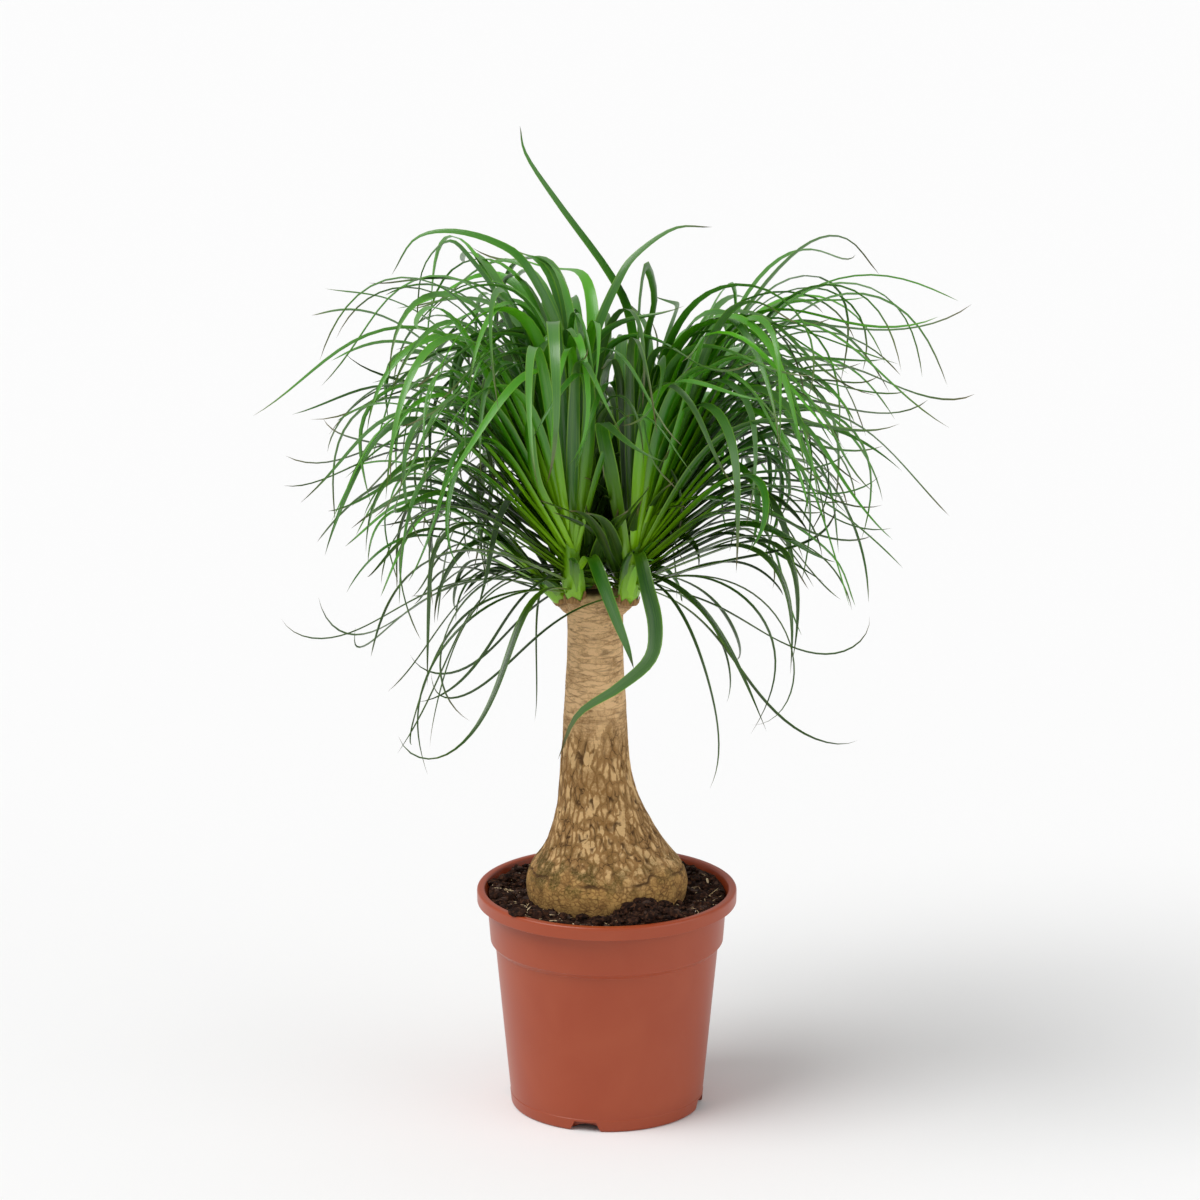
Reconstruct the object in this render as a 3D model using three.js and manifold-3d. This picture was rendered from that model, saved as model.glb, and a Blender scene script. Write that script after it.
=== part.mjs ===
// A ponytail palm in a terracotta-coloured nursery pot: a swollen, bark-covered stem that narrows
// to a neck, with five leafy rosettes of long arching blades sprouting from its cut top.
// Millimetres, +Z up, the front towards -Y. The origin is where the pot's axis meets the surface
// that the pot stands on.
import * as THREE from "three";
import { mergeVertices } from "three/addons/utils/BufferGeometryUtils.js";
import Module from "manifold-3d";

const wasm = await Module();
wasm.setup();

// Pot
const RIM_RADIUS = 95;
const POT_HEIGHT = 165;
const WALL = 1.6;
const LIP_DROP = 10;
const LIP_INNER_RADIUS = 89.4;
const COLLAR_TOP_RADIUS = 87.4;
const COLLAR_FOOT_RADIUS = 85.2;
const STEP_HEIGHT = 124;
const BODY_TOP_RADIUS = 81.6;
const FOOT_RADIUS = 70.6;
const RING_INNER_RADIUS = 63.5;
const PAD_RADIUS = 50;
const GROOVE_RISE = 5;
const POT_SIDES = 32;
const NOTCH_COUNT = 4;
const NOTCH_TURN_DEG = -13;
const NOTCH_WIDTH = 24;
const NOTCH_TOP_WIDTH = 16;
const NOTCH_RISE = 7.5;
const DRAIN_COUNT = 8;
const DRAIN_RADIUS = 4;

// Potting mix
const SOIL_LEVEL = 158;
const SOIL_RADIUS = 86.2;
const CLOD_HEIGHT = 3.2;
const HEAP_PLACE = [27, -56];
const HEAP_HEIGHT = 13;
const HEAP_SPREAD = 22;
const BANK_START = 70;
const BANK_END = 84;
const BANK_HEIGHT = 3;
const GAP = 0.35;

// Stem: height and radius pairs up the swollen foot, the shoulder and the neck
const STEM_OUTLINE = [
  [106, 20], [118, 42], [138, 53.5], [154, 57], [169, 59.5], [182, 56], [196, 45.8],
  [211, 38.2], [232, 30.6], [262, 25.7], [310, 22.4], [350, 20.4], [384, 20.8],
];
const STEM_BOTTOM = 102;
const STEM_TOP = 388;
const STEM_LEAN = -8.5;
const LEAN_START = 178;
const LEAN_END = 265;
const STEM_SIDES = 26;
const STEM_RINGS = 26;
const BARK_RELIEF = 1.0;
const ROOT_COUNT = 5;
const ROOT_LENGTH = 46;
const ROOT_RADIUS = 7;
const STUB_RADIUS = 9.5;
const STUB_DROP = 26;

// Leaves
const SPINE_STEPS = 30;
const STATIONS = [0, 7, 13, 17, 21, 25, 30];
const BLADE_SEGMENTS = STATIONS.length - 1;
const SHEATH_LENGTH = 52;
const SHEATH_RADIUS = 7.8;
const CROWDING = 0.75;
const KEEL_SHARE = 0.17;
const KEEL_LEAST = 1.0;
const CLEARANCE = 0.6;
const TRIES = 16;
const LOWEST = 285;
const HIGHEST = 632;
const BARE_FRONT = 84;
const WINDOW_WIDTH = 170;
const WINDOW_DEPTH = 40;
const WINDOW_TOP = 500;
const GOLDEN_ANGLE_DEG = 137.508;

// foot: where the rosette's sheath stands. lean: how far it leans out over a unit of height.
// leaves: how many blades are drawn for it. reach: its size beside a full-grown rosette.
// lines: each outstanding blade's width, and the points that its centre line passes through.
const ROSETTES = [
  {
    name: "rosette_front_left",
    seed: 11,
    foot: [-23, -11, 388],
    lean: [-0.08, -0.12],
    leaves: 60,
    reach: 1,
    lines: [
      {
        width: 11,
        points: [
          [-23, -16, 419], [-36, -30, 450], [-50, -42, 481], [-55, -50, 520],
          [-53, -56, 563], [-40, -58, 588], [-23, -54, 570], [-11, -50, 543],
        ],
      },
      {
        width: 13,
        points: [
          [-21, -14, 420], [-32, -26, 463], [-42, -36, 516], [-40, -42, 560],
          [-27, -44, 576], [-12, -44, 559], [-5, -44, 518], [-2, -46, 482],
        ],
      },
      {
        width: 11,
        points: [
          [-24, -13, 416], [-19, -8, 473], [-16, -4, 531], [-8, 0, 577],
          [8, 6, 615], [21, 12, 633], [48, 20, 650], [75, 26, 650],
        ],
      },
      {
        width: 11,
        points: [
          [-24, -10, 418], [-37, -6, 487], [-52, -4, 529], [-74, 0, 597],
          [-97, 2, 632], [-113, 4, 644], [-131, 6, 623], [-136, 8, 580],
        ],
      },
      {
        width: 9,
        points: [
          [-25, -12, 418], [-44, -16, 457], [-62, -20, 481], [-83, -26, 507],
          [-108, -32, 528], [-127, -36, 525], [-141, -38, 502], [-148, -40, 466],
        ],
      },
      {
        width: 12,
        points: [
          [-20, -16, 408], [-12, -32, 423], [-4, -48, 409], [6, -56, 384],
          [14, -60, 364], [19, -62, 348],
        ],
      },
    ],
  },
  {
    name: "rosette_front_right",
    seed: 23,
    foot: [15, -10, 386],
    lean: [0.16, -0.12],
    leaves: 59,
    reach: 1,
    lines: [
      {
        width: 10,
        points: [
          [19, -10, 417], [21, -4, 465], [22, 0, 530], [17, 6, 587],
          [2, 14, 619], [-34, 30, 666], [-57, 40, 699], [-62, 44, 720],
        ],
      },
      {
        width: 12,
        points: [
          [21, -14, 418], [24, -14, 460], [23, -14, 511], [28, -18, 574],
          [34, -22, 609], [27, -36, 634], [22, -54, 600], [24, -64, 544],
          [32, -66, 502], [50, -68, 480],
        ],
      },
      {
        width: 12,
        points: [
          [22, -10, 417], [29, -8, 473], [41, -6, 525], [60, -4, 554],
          [86, 0, 579], [120, 6, 622], [148, 10, 644], [172, 14, 643],
          [194, 18, 617],
        ],
      },
      {
        width: 12,
        points: [
          [23, -13, 417], [36, -22, 451], [55, -30, 464], [77, -38, 467],
          [105, -46, 463], [136, -54, 449], [163, -60, 426], [176, -62, 394],
        ],
      },
      {
        width: 13,
        points: [
          [17, -14, 408], [22, -30, 425], [28, -48, 405], [34, -60, 379],
          [30, -72, 358], [8, -78, 339], [-21, -76, 318], [-35, -70, 283],
        ],
      },
      {
        width: 12,
        points: [
          [19, -12, 400], [38, -16, 410], [50, -18, 400], [54, -20, 386],
        ],
      },
    ],
  },
  {
    name: "rosette_back",
    seed: 37,
    foot: [-12, 13, 389],
    lean: [-0.1, 0.24],
    leaves: 45,
    reach: 0.95,
    lines: [
      {
        width: 9,
        points: [
          [-14, 20, 418], [-19, 24, 495], [-32, 28, 567], [-57, 34, 619],
          [-80, 40, 636], [-112, 46, 643], [-138, 50, 636], [-155, 54, 609],
        ],
      },
    ],
  },
  {
    name: "rosette_back_right",
    seed: 41,
    foot: [12, 12, 388],
    lean: [0.3, 0.22],
    leaves: 36,
    reach: 0.8,
    lines: [],
  },
  {
    name: "rosette_side_shoot",
    seed: 53,
    foot: [-33, 2, 383],
    lean: [-0.9, -0.1],
    leaves: 9,
    reach: 0.5,
    lines: [],
  },
];

const POT_LOOK = { color: 0xa5502f, roughness: 0.42, metalness: 0 };
const SOIL_LOOK = { color: 0x2c1c12, roughness: 0.95, metalness: 0 };
const BARK_LOOK = { color: 0xa98558, roughness: 0.85, metalness: 0 };
const LEAF_LOOK = { color: 0x3f7a22, roughness: 0.42, metalness: 0 };

const radians = THREE.MathUtils.degToRad;
const UP = new THREE.Vector3(0, 0, 1);

// A closed geometry as a solid, with the vertices that its faces share merged.
function solid(geometry) {
  const bare = geometry.clone();
  bare.deleteAttribute("normal");
  bare.deleteAttribute("uv");
  const merged = mergeVertices(bare, 1e-4);
  return new wasm.Manifold(
    new wasm.Mesh({
      numProp: 3,
      vertProperties: new Float32Array(merged.attributes.position.array),
      triVerts: new Uint32Array(merged.index.array),
    }),
  );
}

function geometryOf(body) {
  const { vertProperties, triVerts } = body.getMesh();
  const geometry = new THREE.BufferGeometry();
  geometry.setAttribute("position", new THREE.BufferAttribute(vertProperties, 3));
  geometry.setIndex(new THREE.BufferAttribute(triVerts, 1));
  geometry.computeVertexNormals();
  return geometry;
}

function named(name, body, look) {
  const mesh = new THREE.Mesh(geometryOf(body), new THREE.MeshStandardMaterial(look));
  mesh.name = name;
  return mesh;
}

// A solid of revolution about Z from [radius, height] pairs that start and end on the axis.
function turned(profile, sides) {
  const points = profile.map(([radius, height]) => new THREE.Vector2(radius, height));
  return solid(new THREE.LatheGeometry(points, sides).rotateX(Math.PI / 2));
}

// A straight round bar, or a cone, from one point to another.
function bar(from, to, fromRadius, toRadius, sides) {
  const along = to.clone().sub(from);
  const geometry = new THREE.CylinderGeometry(toRadius, fromRadius, along.length(), sides);
  geometry.translate(0, along.length() / 2, 0);
  const turn = new THREE.Quaternion().setFromUnitVectors(new THREE.Vector3(0, 1, 0), along.normalize());
  return solid(geometry.applyQuaternion(turn).translate(from.x, from.y, from.z));
}

// Random numbers that come out the same on every run.
function seeded(seed) {
  let state = seed;
  return (low, high) => {
    state = (state * 1664525 + 1013904223) % 4294967296;
    return low + ((high - low) * state) / 4294967296;
  };
}

function smoothStep(low, high, value) {
  const share = Math.min(1, Math.max(0, (value - low) / (high - low)));
  return share * share * (3 - 2 * share);
}

// Pot
const lipFoot = POT_HEIGHT - LIP_DROP;
const floorTop = WALL + 0.3;

const potProfile = [
  [0, 0],
  [PAD_RADIUS, 0],
  [PAD_RADIUS + 1.5, GROOVE_RISE],
  [RING_INNER_RADIUS - 1.5, GROOVE_RISE],
  [RING_INNER_RADIUS, 0],
  [FOOT_RADIUS - 3, 0],
  [FOOT_RADIUS - 0.8, 0.9],
  [FOOT_RADIUS, 3],
  [BODY_TOP_RADIUS, STEP_HEIGHT - 2.5],
  [COLLAR_FOOT_RADIUS, STEP_HEIGHT + 1.5],
  [COLLAR_TOP_RADIUS, lipFoot - 1],
  [LIP_INNER_RADIUS + 1.4, POT_HEIGHT - 2.6],
  [RIM_RADIUS - WALL, POT_HEIGHT - 2.6],
  [RIM_RADIUS - WALL, lipFoot],
  [RIM_RADIUS - 0.4, lipFoot],
  [RIM_RADIUS, POT_HEIGHT - 2.8],
  [RIM_RADIUS - 2, POT_HEIGHT],
  [LIP_INNER_RADIUS + 1.2, POT_HEIGHT],
  [COLLAR_TOP_RADIUS - WALL, lipFoot - 1],
  [COLLAR_FOOT_RADIUS - WALL, STEP_HEIGHT + 0.9],
  [BODY_TOP_RADIUS - WALL, STEP_HEIGHT - 3.1],
  [FOOT_RADIUS - WALL + 0.6, GROOVE_RISE + WALL + 3],
  [FOOT_RADIUS - WALL - 2, GROOVE_RISE + WALL],
  [PAD_RADIUS + 1, GROOVE_RISE + WALL],
  [PAD_RADIUS - 0.5, floorTop],
  [0, floorTop],
];

// A wedge through the foot ring, wide at the bottom, that lets water out sideways.
function notch(turn) {
  const outline = new THREE.Shape([
    new THREE.Vector2(-NOTCH_WIDTH / 2, -1),
    new THREE.Vector2(NOTCH_WIDTH / 2, -1),
    new THREE.Vector2(NOTCH_TOP_WIDTH / 2, NOTCH_RISE),
    new THREE.Vector2(-NOTCH_TOP_WIDTH / 2, NOTCH_RISE),
  ]);
  const depth = FOOT_RADIUS + 5 - RING_INNER_RADIUS;
  const geometry = new THREE.ExtrudeGeometry(outline, { depth, bevelEnabled: false });
  geometry.rotateX(Math.PI / 2).translate(0, -RING_INNER_RADIUS + 1, 0);
  return solid(geometry.rotateZ(turn));
}

function drainHole(turn) {
  const geometry = new THREE.CylinderGeometry(DRAIN_RADIUS, DRAIN_RADIUS, 12, 8).rotateX(Math.PI / 2);
  geometry.translate(0, -(PAD_RADIUS + RING_INNER_RADIUS) / 2, GROOVE_RISE);
  return solid(geometry.rotateZ(turn));
}

function makePot() {
  const cuts = [];
  for (let i = 0; i < NOTCH_COUNT; i++)
    cuts.push(notch(radians(NOTCH_TURN_DEG + (360 / NOTCH_COUNT) * i)));
  for (let i = 0; i < DRAIN_COUNT; i++)
    cuts.push(drainHole(radians(NOTCH_TURN_DEG + (360 / DRAIN_COUNT) * (i + 0.5))));
  return turned(potProfile, POT_SIDES).subtract(wasm.Manifold.union(cuts));
}

// Stem
const stemCurve = new THREE.SplineCurve(
  STEM_OUTLINE.map(([height, radius]) => new THREE.Vector2(radius, height)),
);

function stemCentre(height) {
  return STEM_LEAN * smoothStep(LEAN_START, LEAN_END, height);
}

// The stem's radius at a height, from straight lines between the outline's pairs.
function stemRadius(height) {
  const above = STEM_OUTLINE.findIndex(([level]) => level >= height);
  if (above < 1) return STEM_OUTLINE[above < 0 ? STEM_OUTLINE.length - 1 : 0][1];
  const [lowLevel, lowRadius] = STEM_OUTLINE[above - 1];
  const [highLevel, highRadius] = STEM_OUTLINE[above];
  return lowRadius + ((highRadius - lowRadius) * (height - lowLevel)) / (highLevel - lowLevel);
}

// The swollen stem, grown by `extra` all round, with its bark sunk here and there by up to `relief`.
function stemBody(extra, relief) {
  const outline = stemCurve.getPoints(STEM_RINGS).map((p) => [p.x + extra, p.y]);
  const profile = [[0, STEM_BOTTOM - extra], ...outline, [17, STEM_TOP], [0, STEM_TOP + 1]];
  const points = profile.map(([radius, height]) => new THREE.Vector2(radius, height));
  const lathe = new THREE.LatheGeometry(points, STEM_SIDES).rotateX(Math.PI / 2);
  lathe.deleteAttribute("normal");
  lathe.deleteAttribute("uv");
  const skin = mergeVertices(lathe, 1e-3);
  const place = skin.attributes.position;
  const random = seeded(7);
  const spot = new THREE.Vector3();
  for (let i = 0; i < place.count; i++) {
    spot.fromBufferAttribute(place, i);
    const radius = Math.hypot(spot.x, spot.y);
    const groove = relief * random(0, 1);
    const grown = radius < 18 ? 1 : (radius - groove) / radius;
    place.setXYZ(i, spot.x * grown + stemCentre(spot.z), spot.y * grown, spot.z);
  }
  return solid(skin);
}

// Tapered roots that spread down and out under the swollen foot.
function roots(extra) {
  const bodies = [];
  for (let i = 0; i < ROOT_COUNT; i++) {
    const turn = radians((360 / ROOT_COUNT) * i + 20);
    const out = new THREE.Vector3(Math.cos(turn), Math.sin(turn), -1.3).normalize();
    const start = new THREE.Vector3(Math.cos(turn) * 24, Math.sin(turn) * 24, STEM_BOTTOM + 20);
    const end = start.clone().addScaledVector(out, ROOT_LENGTH + (i % 3) * 9 + extra);
    bodies.push(bar(start, end, ROOT_RADIUS + extra, 2 + extra, 6));
  }
  return bodies;
}

function rosetteAxis({ lean }) {
  return new THREE.Vector3(lean[0], lean[1], 1).normalize();
}

// The short woody stub under each rosette, from the stem's core up and out to the rosette's foot.
function stub(rosette) {
  const top = new THREE.Vector3(...rosette.foot);
  const low = new THREE.Vector3(stemCentre(STEM_TOP), 0, STEM_TOP - STUB_DROP);
  return { low, top, radius: STUB_RADIUS * (0.55 + 0.4 * rosette.reach) };
}

// A stub's solid: two equal discs, square to the rosette, and all that lies between them.
function stubSolid(rosette) {
  const { low, top, radius } = stub(rosette);
  const axis = rosetteAxis(rosette);
  const discs = [low, top].map((place) =>
    bar(place.clone().addScaledVector(axis, -0.5), place, radius, radius, 10),
  );
  return wasm.Manifold.hull(discs);
}

function makeStem() {
  return wasm.Manifold.union([stemBody(0, BARK_RELIEF), ...roots(0), ...ROSETTES.map(stubSolid)]);
}

// Potting mix
function potInnerRadius(height) {
  const share = (height - GROOVE_RISE - WALL - 3) / (STEP_HEIGHT - 3.1 - GROOVE_RISE - WALL - 3);
  return FOOT_RADIUS - WALL + 0.6 + (BODY_TOP_RADIUS - FOOT_RADIUS - 0.6) * share;
}

function makeSoil() {
  const bed = floorTop + GAP;
  const shelf = GROOVE_RISE + WALL + GAP;
  const profile = [
    [0, bed],
    [PAD_RADIUS - 0.7, bed],
    [PAD_RADIUS + 0.7, shelf],
    [FOOT_RADIUS - WALL - 2.4, shelf],
    [potInnerRadius(shelf + 3) - GAP, shelf + 3],
    [BODY_TOP_RADIUS - WALL - GAP, STEP_HEIGHT - 3],
    [COLLAR_FOOT_RADIUS - WALL - GAP, STEP_HEIGHT + 1.6],
    [COLLAR_TOP_RADIUS - WALL - GAP - 0.4, SOIL_LEVEL - 4],
    [SOIL_RADIUS, SOIL_LEVEL - 0.5],
    [78, SOIL_LEVEL],
    [70, SOIL_LEVEL],
    [62, SOIL_LEVEL],
    [54, SOIL_LEVEL],
    [0, SOIL_LEVEL],
  ];
  const points = profile.map(([radius, height]) => new THREE.Vector2(radius, height));
  const lathe = new THREE.LatheGeometry(points, POT_SIDES).rotateX(Math.PI / 2);
  lathe.deleteAttribute("normal");
  lathe.deleteAttribute("uv");
  const skin = mergeVertices(lathe, 1e-3);
  const place = skin.attributes.position;
  const random = seeded(29);
  for (let i = 0; i < place.count; i++) {
    const radius = Math.hypot(place.getX(i), place.getY(i));
    const clod = random(-0.5, 1) * CLOD_HEIGHT;
    const isTop = place.getZ(i) > SOIL_LEVEL - 1 && radius > 50;
    if (isTop) place.setZ(i, place.getZ(i) + clod + soilMound(place.getX(i), place.getY(i)));
  }
  return solid(skin).subtract(wasm.Manifold.union([stemBody(GAP, 0), ...roots(GAP)]));
}

// The mix is heaped against the front right of the stem and banked up towards the rim.
function soilMound(x, y) {
  const away = Math.hypot(x - HEAP_PLACE[0], y - HEAP_PLACE[1]);
  const heap = HEAP_HEIGHT * Math.exp(-((away / HEAP_SPREAD) ** 2));
  return heap + BANK_HEIGHT * smoothStep(BANK_START, BANK_END, Math.hypot(x, y));
}

// Leaves

// The centre line of a blade drawn by rule: it leaves the sheath at its launch angle, and its
// slope nears the angle at which it hangs as it goes on, with a turn and a hook towards the tip.
function drawnLine(rosette, blade) {
  const axis = rosetteAxis(rosette);
  const side = radians(blade.azimuth);
  const out = new THREE.Vector3(Math.sin(side), -Math.cos(side), 0);
  const launch = radians(blade.launch);
  const start = axis.clone().multiplyScalar(Math.cos(launch)).addScaledVector(out, Math.sin(launch));
  start.normalize();
  const slope = Math.acos(start.z);
  const heading = Math.atan2(start.x, -start.y);
  const point = new THREE.Vector3(...rosette.foot).addScaledVector(axis, blade.rise);
  point.addScaledVector(out, 2);
  const line = [point.clone()];
  for (let i = 0; i < SPINE_STEPS; i++) {
    const share = (i + 0.5) / SPINE_STEPS;
    const fallen = 1 - Math.exp(-Math.pow(share / blade.stiffness, blade.lag));
    const tilt = slope + (radians(blade.hang) - slope) * fallen + radians(blade.hook) * share ** 4;
    const turn = heading + radians(blade.curl) * share * share;
    const level = new THREE.Vector3(Math.sin(turn), -Math.cos(turn), 0);
    const direction = level.multiplyScalar(Math.sin(tilt)).addScaledVector(UP, Math.cos(tilt));
    point.addScaledVector(direction, blade.length / SPINE_STEPS);
    line.push(point.clone());
  }
  return line;
}

// The centre line of an outstanding blade: a smooth curve through its points.
function tracedLine({ points }) {
  const places = points.map((place) => new THREE.Vector3(...place));
  return new THREE.CatmullRomCurve3(places, false, "catmullrom", 0.5).getPoints(SPINE_STEPS);
}

// The points of a centre line, each with the blade's across and upward directions there.
function framed(rosette, line) {
  const out = line[6].clone().sub(new THREE.Vector3(...rosette.foot)).setZ(0).normalize();
  const across = new THREE.Vector3().crossVectors(UP, out);
  return line.map((point, i) => {
    const next = line[Math.min(i + 1, SPINE_STEPS)];
    const direction = next.clone().sub(line[Math.max(i - 1, 0)]).normalize();
    across.addScaledVector(direction, -across.dot(direction)).normalize();
    const upward = new THREE.Vector3().crossVectors(direction, across);
    return { point, across: across.clone(), upward };
  });
}

function bladeWidth(blade, share) {
  return blade.width * Math.min(1, 0.4 + 1.5 * share) * (1 - share ** 2.4);
}

// The places along the spine at which the solid blade has its corners, closer where it bends over.
function stations(spine) {
  return STATIONS.map((step) => ({ ...spine[step], share: step / SPINE_STEPS }));
}

// A three-sided cone bent along the spine: two edges and a keel under the midrib, to a fine tip.
function bladeSolid(blade, spine) {
  const cone = new THREE.ConeGeometry(1, 1, 3, BLADE_SEGMENTS);
  const place = cone.attributes.position;
  const posts = stations(spine);
  for (let i = 0; i < place.count; i++) {
    const row = Math.round((place.getY(i) + 0.5) * BLADE_SEGMENTS);
    const { point, across, upward, share } = posts[row];
    const shrink = Math.max(1 - row / BLADE_SEGMENTS, 1e-9);
    const width = bladeWidth(blade, share);
    const keel = share > 0.999 ? 0 : Math.max(KEEL_LEAST, width * KEEL_SHARE);
    const roll = radians(blade.twist) * share * share;
    const x = ((place.getX(i) / shrink) * width) / Math.sqrt(3);
    const z = (-place.getZ(i) / shrink) * keel * (2 / 3);
    const spot = point.clone();
    spot.addScaledVector(across, x * Math.cos(roll) - z * Math.sin(roll));
    spot.addScaledVector(upward, x * Math.sin(roll) + z * Math.cos(roll));
    place.setXYZ(i, spot.x, spot.y, spot.z);
  }
  return solid(cone);
}

// The shortest distance between the segments a-b and c-d.
function segmentGap(a, b, c, d) {
  const along = b.clone().sub(a);
  const other = d.clone().sub(c);
  const offset = a.clone().sub(c);
  const aa = along.dot(along);
  const bb = other.dot(other);
  const ab = along.dot(other);
  const ao = along.dot(offset);
  const bo = other.dot(offset);
  const scale = aa * bb - ab * ab;
  let s = scale > 1e-9 ? Math.min(1, Math.max(0, (ab * bo - ao * bb) / scale)) : 0;
  let t = (ab * s + bo) / bb;
  if (t < 0 || t > 1) {
    t = Math.min(1, Math.max(0, t));
    s = Math.min(1, Math.max(0, (ab * t - ao) / aa));
  }
  return a.clone().addScaledVector(along, s).distanceTo(c.clone().addScaledVector(other, t));
}

// A blade or sheath as straight links, each with its half width, for the clearance test.
function links(points, halfWidths, owner) {
  return points.slice(1).map((end, i) => ({
    start: points[i],
    end,
    half: Math.max(halfWidths[i], halfWidths[i + 1]),
    owner,
    inner: i < 1,
  }));
}

function bladeLinks(blade, spine, owner) {
  const posts = stations(spine);
  const halves = posts.map(({ share }) => bladeWidth(blade, share) / 2);
  return links(posts.map((post) => post.point), halves, owner);
}

// The stub and sheath that other rosettes' blades keep off.
function sheathLinks(rosette) {
  const { low, top, radius } = stub(rosette);
  const tip = top.clone().addScaledVector(rosetteAxis(rosette), SHEATH_LENGTH * rosette.reach);
  return links([low, top, tip], [radius, SHEATH_RADIUS, SHEATH_RADIUS], rosette.name).map((link) => ({
    ...link,
    inner: true,
  }));
}

// Whether a blade stays off the stem, keeps between the lowest and the highest level, and leaves
// the front of the stem and of the fans in view.
function clearOfStem(chain) {
  return chain.every(({ end, half }) => {
    const beside = Math.hypot(end.x - stemCentre(end.z), end.y);
    const aside = Math.abs(end.x - STEM_LEAN);
    const offStem = end.z > STEM_TOP + 4 || beside > stemRadius(end.z) + half + 4;
    const hidesStem = end.y < 0 && end.z < STEM_TOP && aside < BARE_FRONT / 2;
    const hidesFans = end.y < -WINDOW_DEPTH && end.z < WINDOW_TOP && aside < WINDOW_WIDTH / 2;
    const inReach = end.z > LOWEST && end.z < HIGHEST;
    return offStem && !hidesStem && !hidesFans && inReach;
  });
}

// Whether a blade keeps off the other rosettes' blades, and off most of its own rosette's.
function clearOfOthers(chain, placed) {
  return chain.every((link, i) =>
    placed.every((other) => {
      const own = other.owner === link.owner;
      if (own && (i < 1 || other.inner)) return true;
      const least = own ? 0.6 * (link.half + other.half) : link.half + other.half + CLEARANCE;
      const far = link.start.distanceTo(other.start) - link.start.distanceTo(link.end);
      if (far > other.start.distanceTo(other.end) + least) return true;
      return segmentGap(link.start, link.end, other.start, other.end) > least;
    }),
  );
}

// One blade by rule: the inner, younger blades stand up, and the outer ones spread and hang. On
// the side where the other rosettes crowd it, a blade stands up too.
function drawBlade(rosette, index, attempt, random) {
  const { foot, leaves, reach } = rosette;
  const age = ((index + 0.5) / leaves) ** 1.25;
  const azimuth = index * GOLDEN_ANGLE_DEG + (attempt + 1) * random(-25, 25);
  const inward = Math.cos(radians(azimuth) - Math.atan2(STEM_LEAN - foot[0], foot[1]));
  const crowded = 1 - CROWDING * Math.max(0, inward);
  return {
    azimuth,
    launch: (5 + 44 * age ** 1.2 + random(-8, 9)) * crowded - 9 * inward,
    rise: SHEATH_LENGTH * reach * (0.86 - 0.68 * age),
    length: (345 - 140 * age + random(-75, 35)) * (0.3 + 0.7 * reach),
    width: (9.8 - 1.8 * age + random(-2.5, 2.7)) * (0.7 + 0.3 * reach),
    stiffness: 0.74 - 0.1 * age + random(-0.16, 0.1),
    lag: 6 - 1.5 * age + random(-1.5, 1.5),
    hang: random(110, 180),
    curl: random(-80 - 40 * age, 80 + 40 * age),
    hook: random(-80, 60),
    twist: random(-70, 70),
  };
}

function growLeaves() {
  const placed = ROSETTES.flatMap(sheathLinks);
  const grown = ROSETTES.map((rosette) => ({ rosette, random: seeded(rosette.seed), blades: [] }));
  const keep = (grower, blade, spine, chain) => {
    placed.push(...chain);
    grower.blades.push(bladeSolid(blade, spine));
  };
  for (const grower of grown)
    for (const traced of grower.rosette.lines) {
      const blade = { ...traced, twist: 0 };
      const spine = framed(grower.rosette, tracedLine(traced));
      keep(grower, blade, spine, bladeLinks(blade, spine, grower.rosette.name));
    }
  const most = Math.max(...ROSETTES.map((rosette) => rosette.leaves));
  for (let index = 0; index < most; index++)
    for (const grower of grown) {
      const { rosette, random } = grower;
      if (index >= rosette.leaves) continue;
      for (let attempt = 0; attempt < TRIES; attempt++) {
        const blade = drawBlade(rosette, index, attempt, random);
        const spine = framed(rosette, drawnLine(rosette, blade));
        const chain = bladeLinks(blade, spine, rosette.name);
        if (!clearOfStem(chain) || !clearOfOthers(chain, placed)) continue;
        keep(grower, blade, spine, chain);
        break;
      }
    }
  return grown;
}

// The tube of clasping leaf bases that the blades part from, with its foot just off the stub.
function sheath(rosette) {
  const length = SHEATH_LENGTH * rosette.reach;
  const wide = SHEATH_RADIUS * (0.7 + 0.3 * rosette.reach);
  const profile = [
    [0, GAP],
    [wide * 0.9, GAP],
    [wide, length * 0.22],
    [wide * 0.78, length * 0.6],
    [wide * 0.45, length * 0.92],
    [0, length],
  ];
  const points = profile.map(([radius, height]) => new THREE.Vector2(radius, height));
  const turn = new THREE.Quaternion().setFromUnitVectors(UP, rosetteAxis(rosette));
  const geometry = new THREE.LatheGeometry(points, 10).rotateX(Math.PI / 2).applyQuaternion(turn);
  return solid(geometry.translate(...rosette.foot));
}

const plant = new THREE.Group();
plant.add(named("pot", makePot(), POT_LOOK));
plant.add(named("soil", makeSoil(), SOIL_LOOK));
plant.add(named("stem", makeStem(), BARK_LOOK));
for (const { rosette, blades } of growLeaves())
  plant.add(named(rosette.name, wasm.Manifold.union([sheath(rosette), ...blades]), LEAF_LOOK));

export default plant;
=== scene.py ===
"""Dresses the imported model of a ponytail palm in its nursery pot.

The pot, the potting mix, the bark-covered stem and the five leafy heads are modelled in
millimetres, with the front towards -Y, and each finished mesh is scaled to metres.
"""
import logging
import math
from collections.abc import Iterable
from dataclasses import dataclass, field
from enum import Enum

import bmesh
import bpy
import numpy as np
from mathutils import Matrix, Vector, noise


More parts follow.
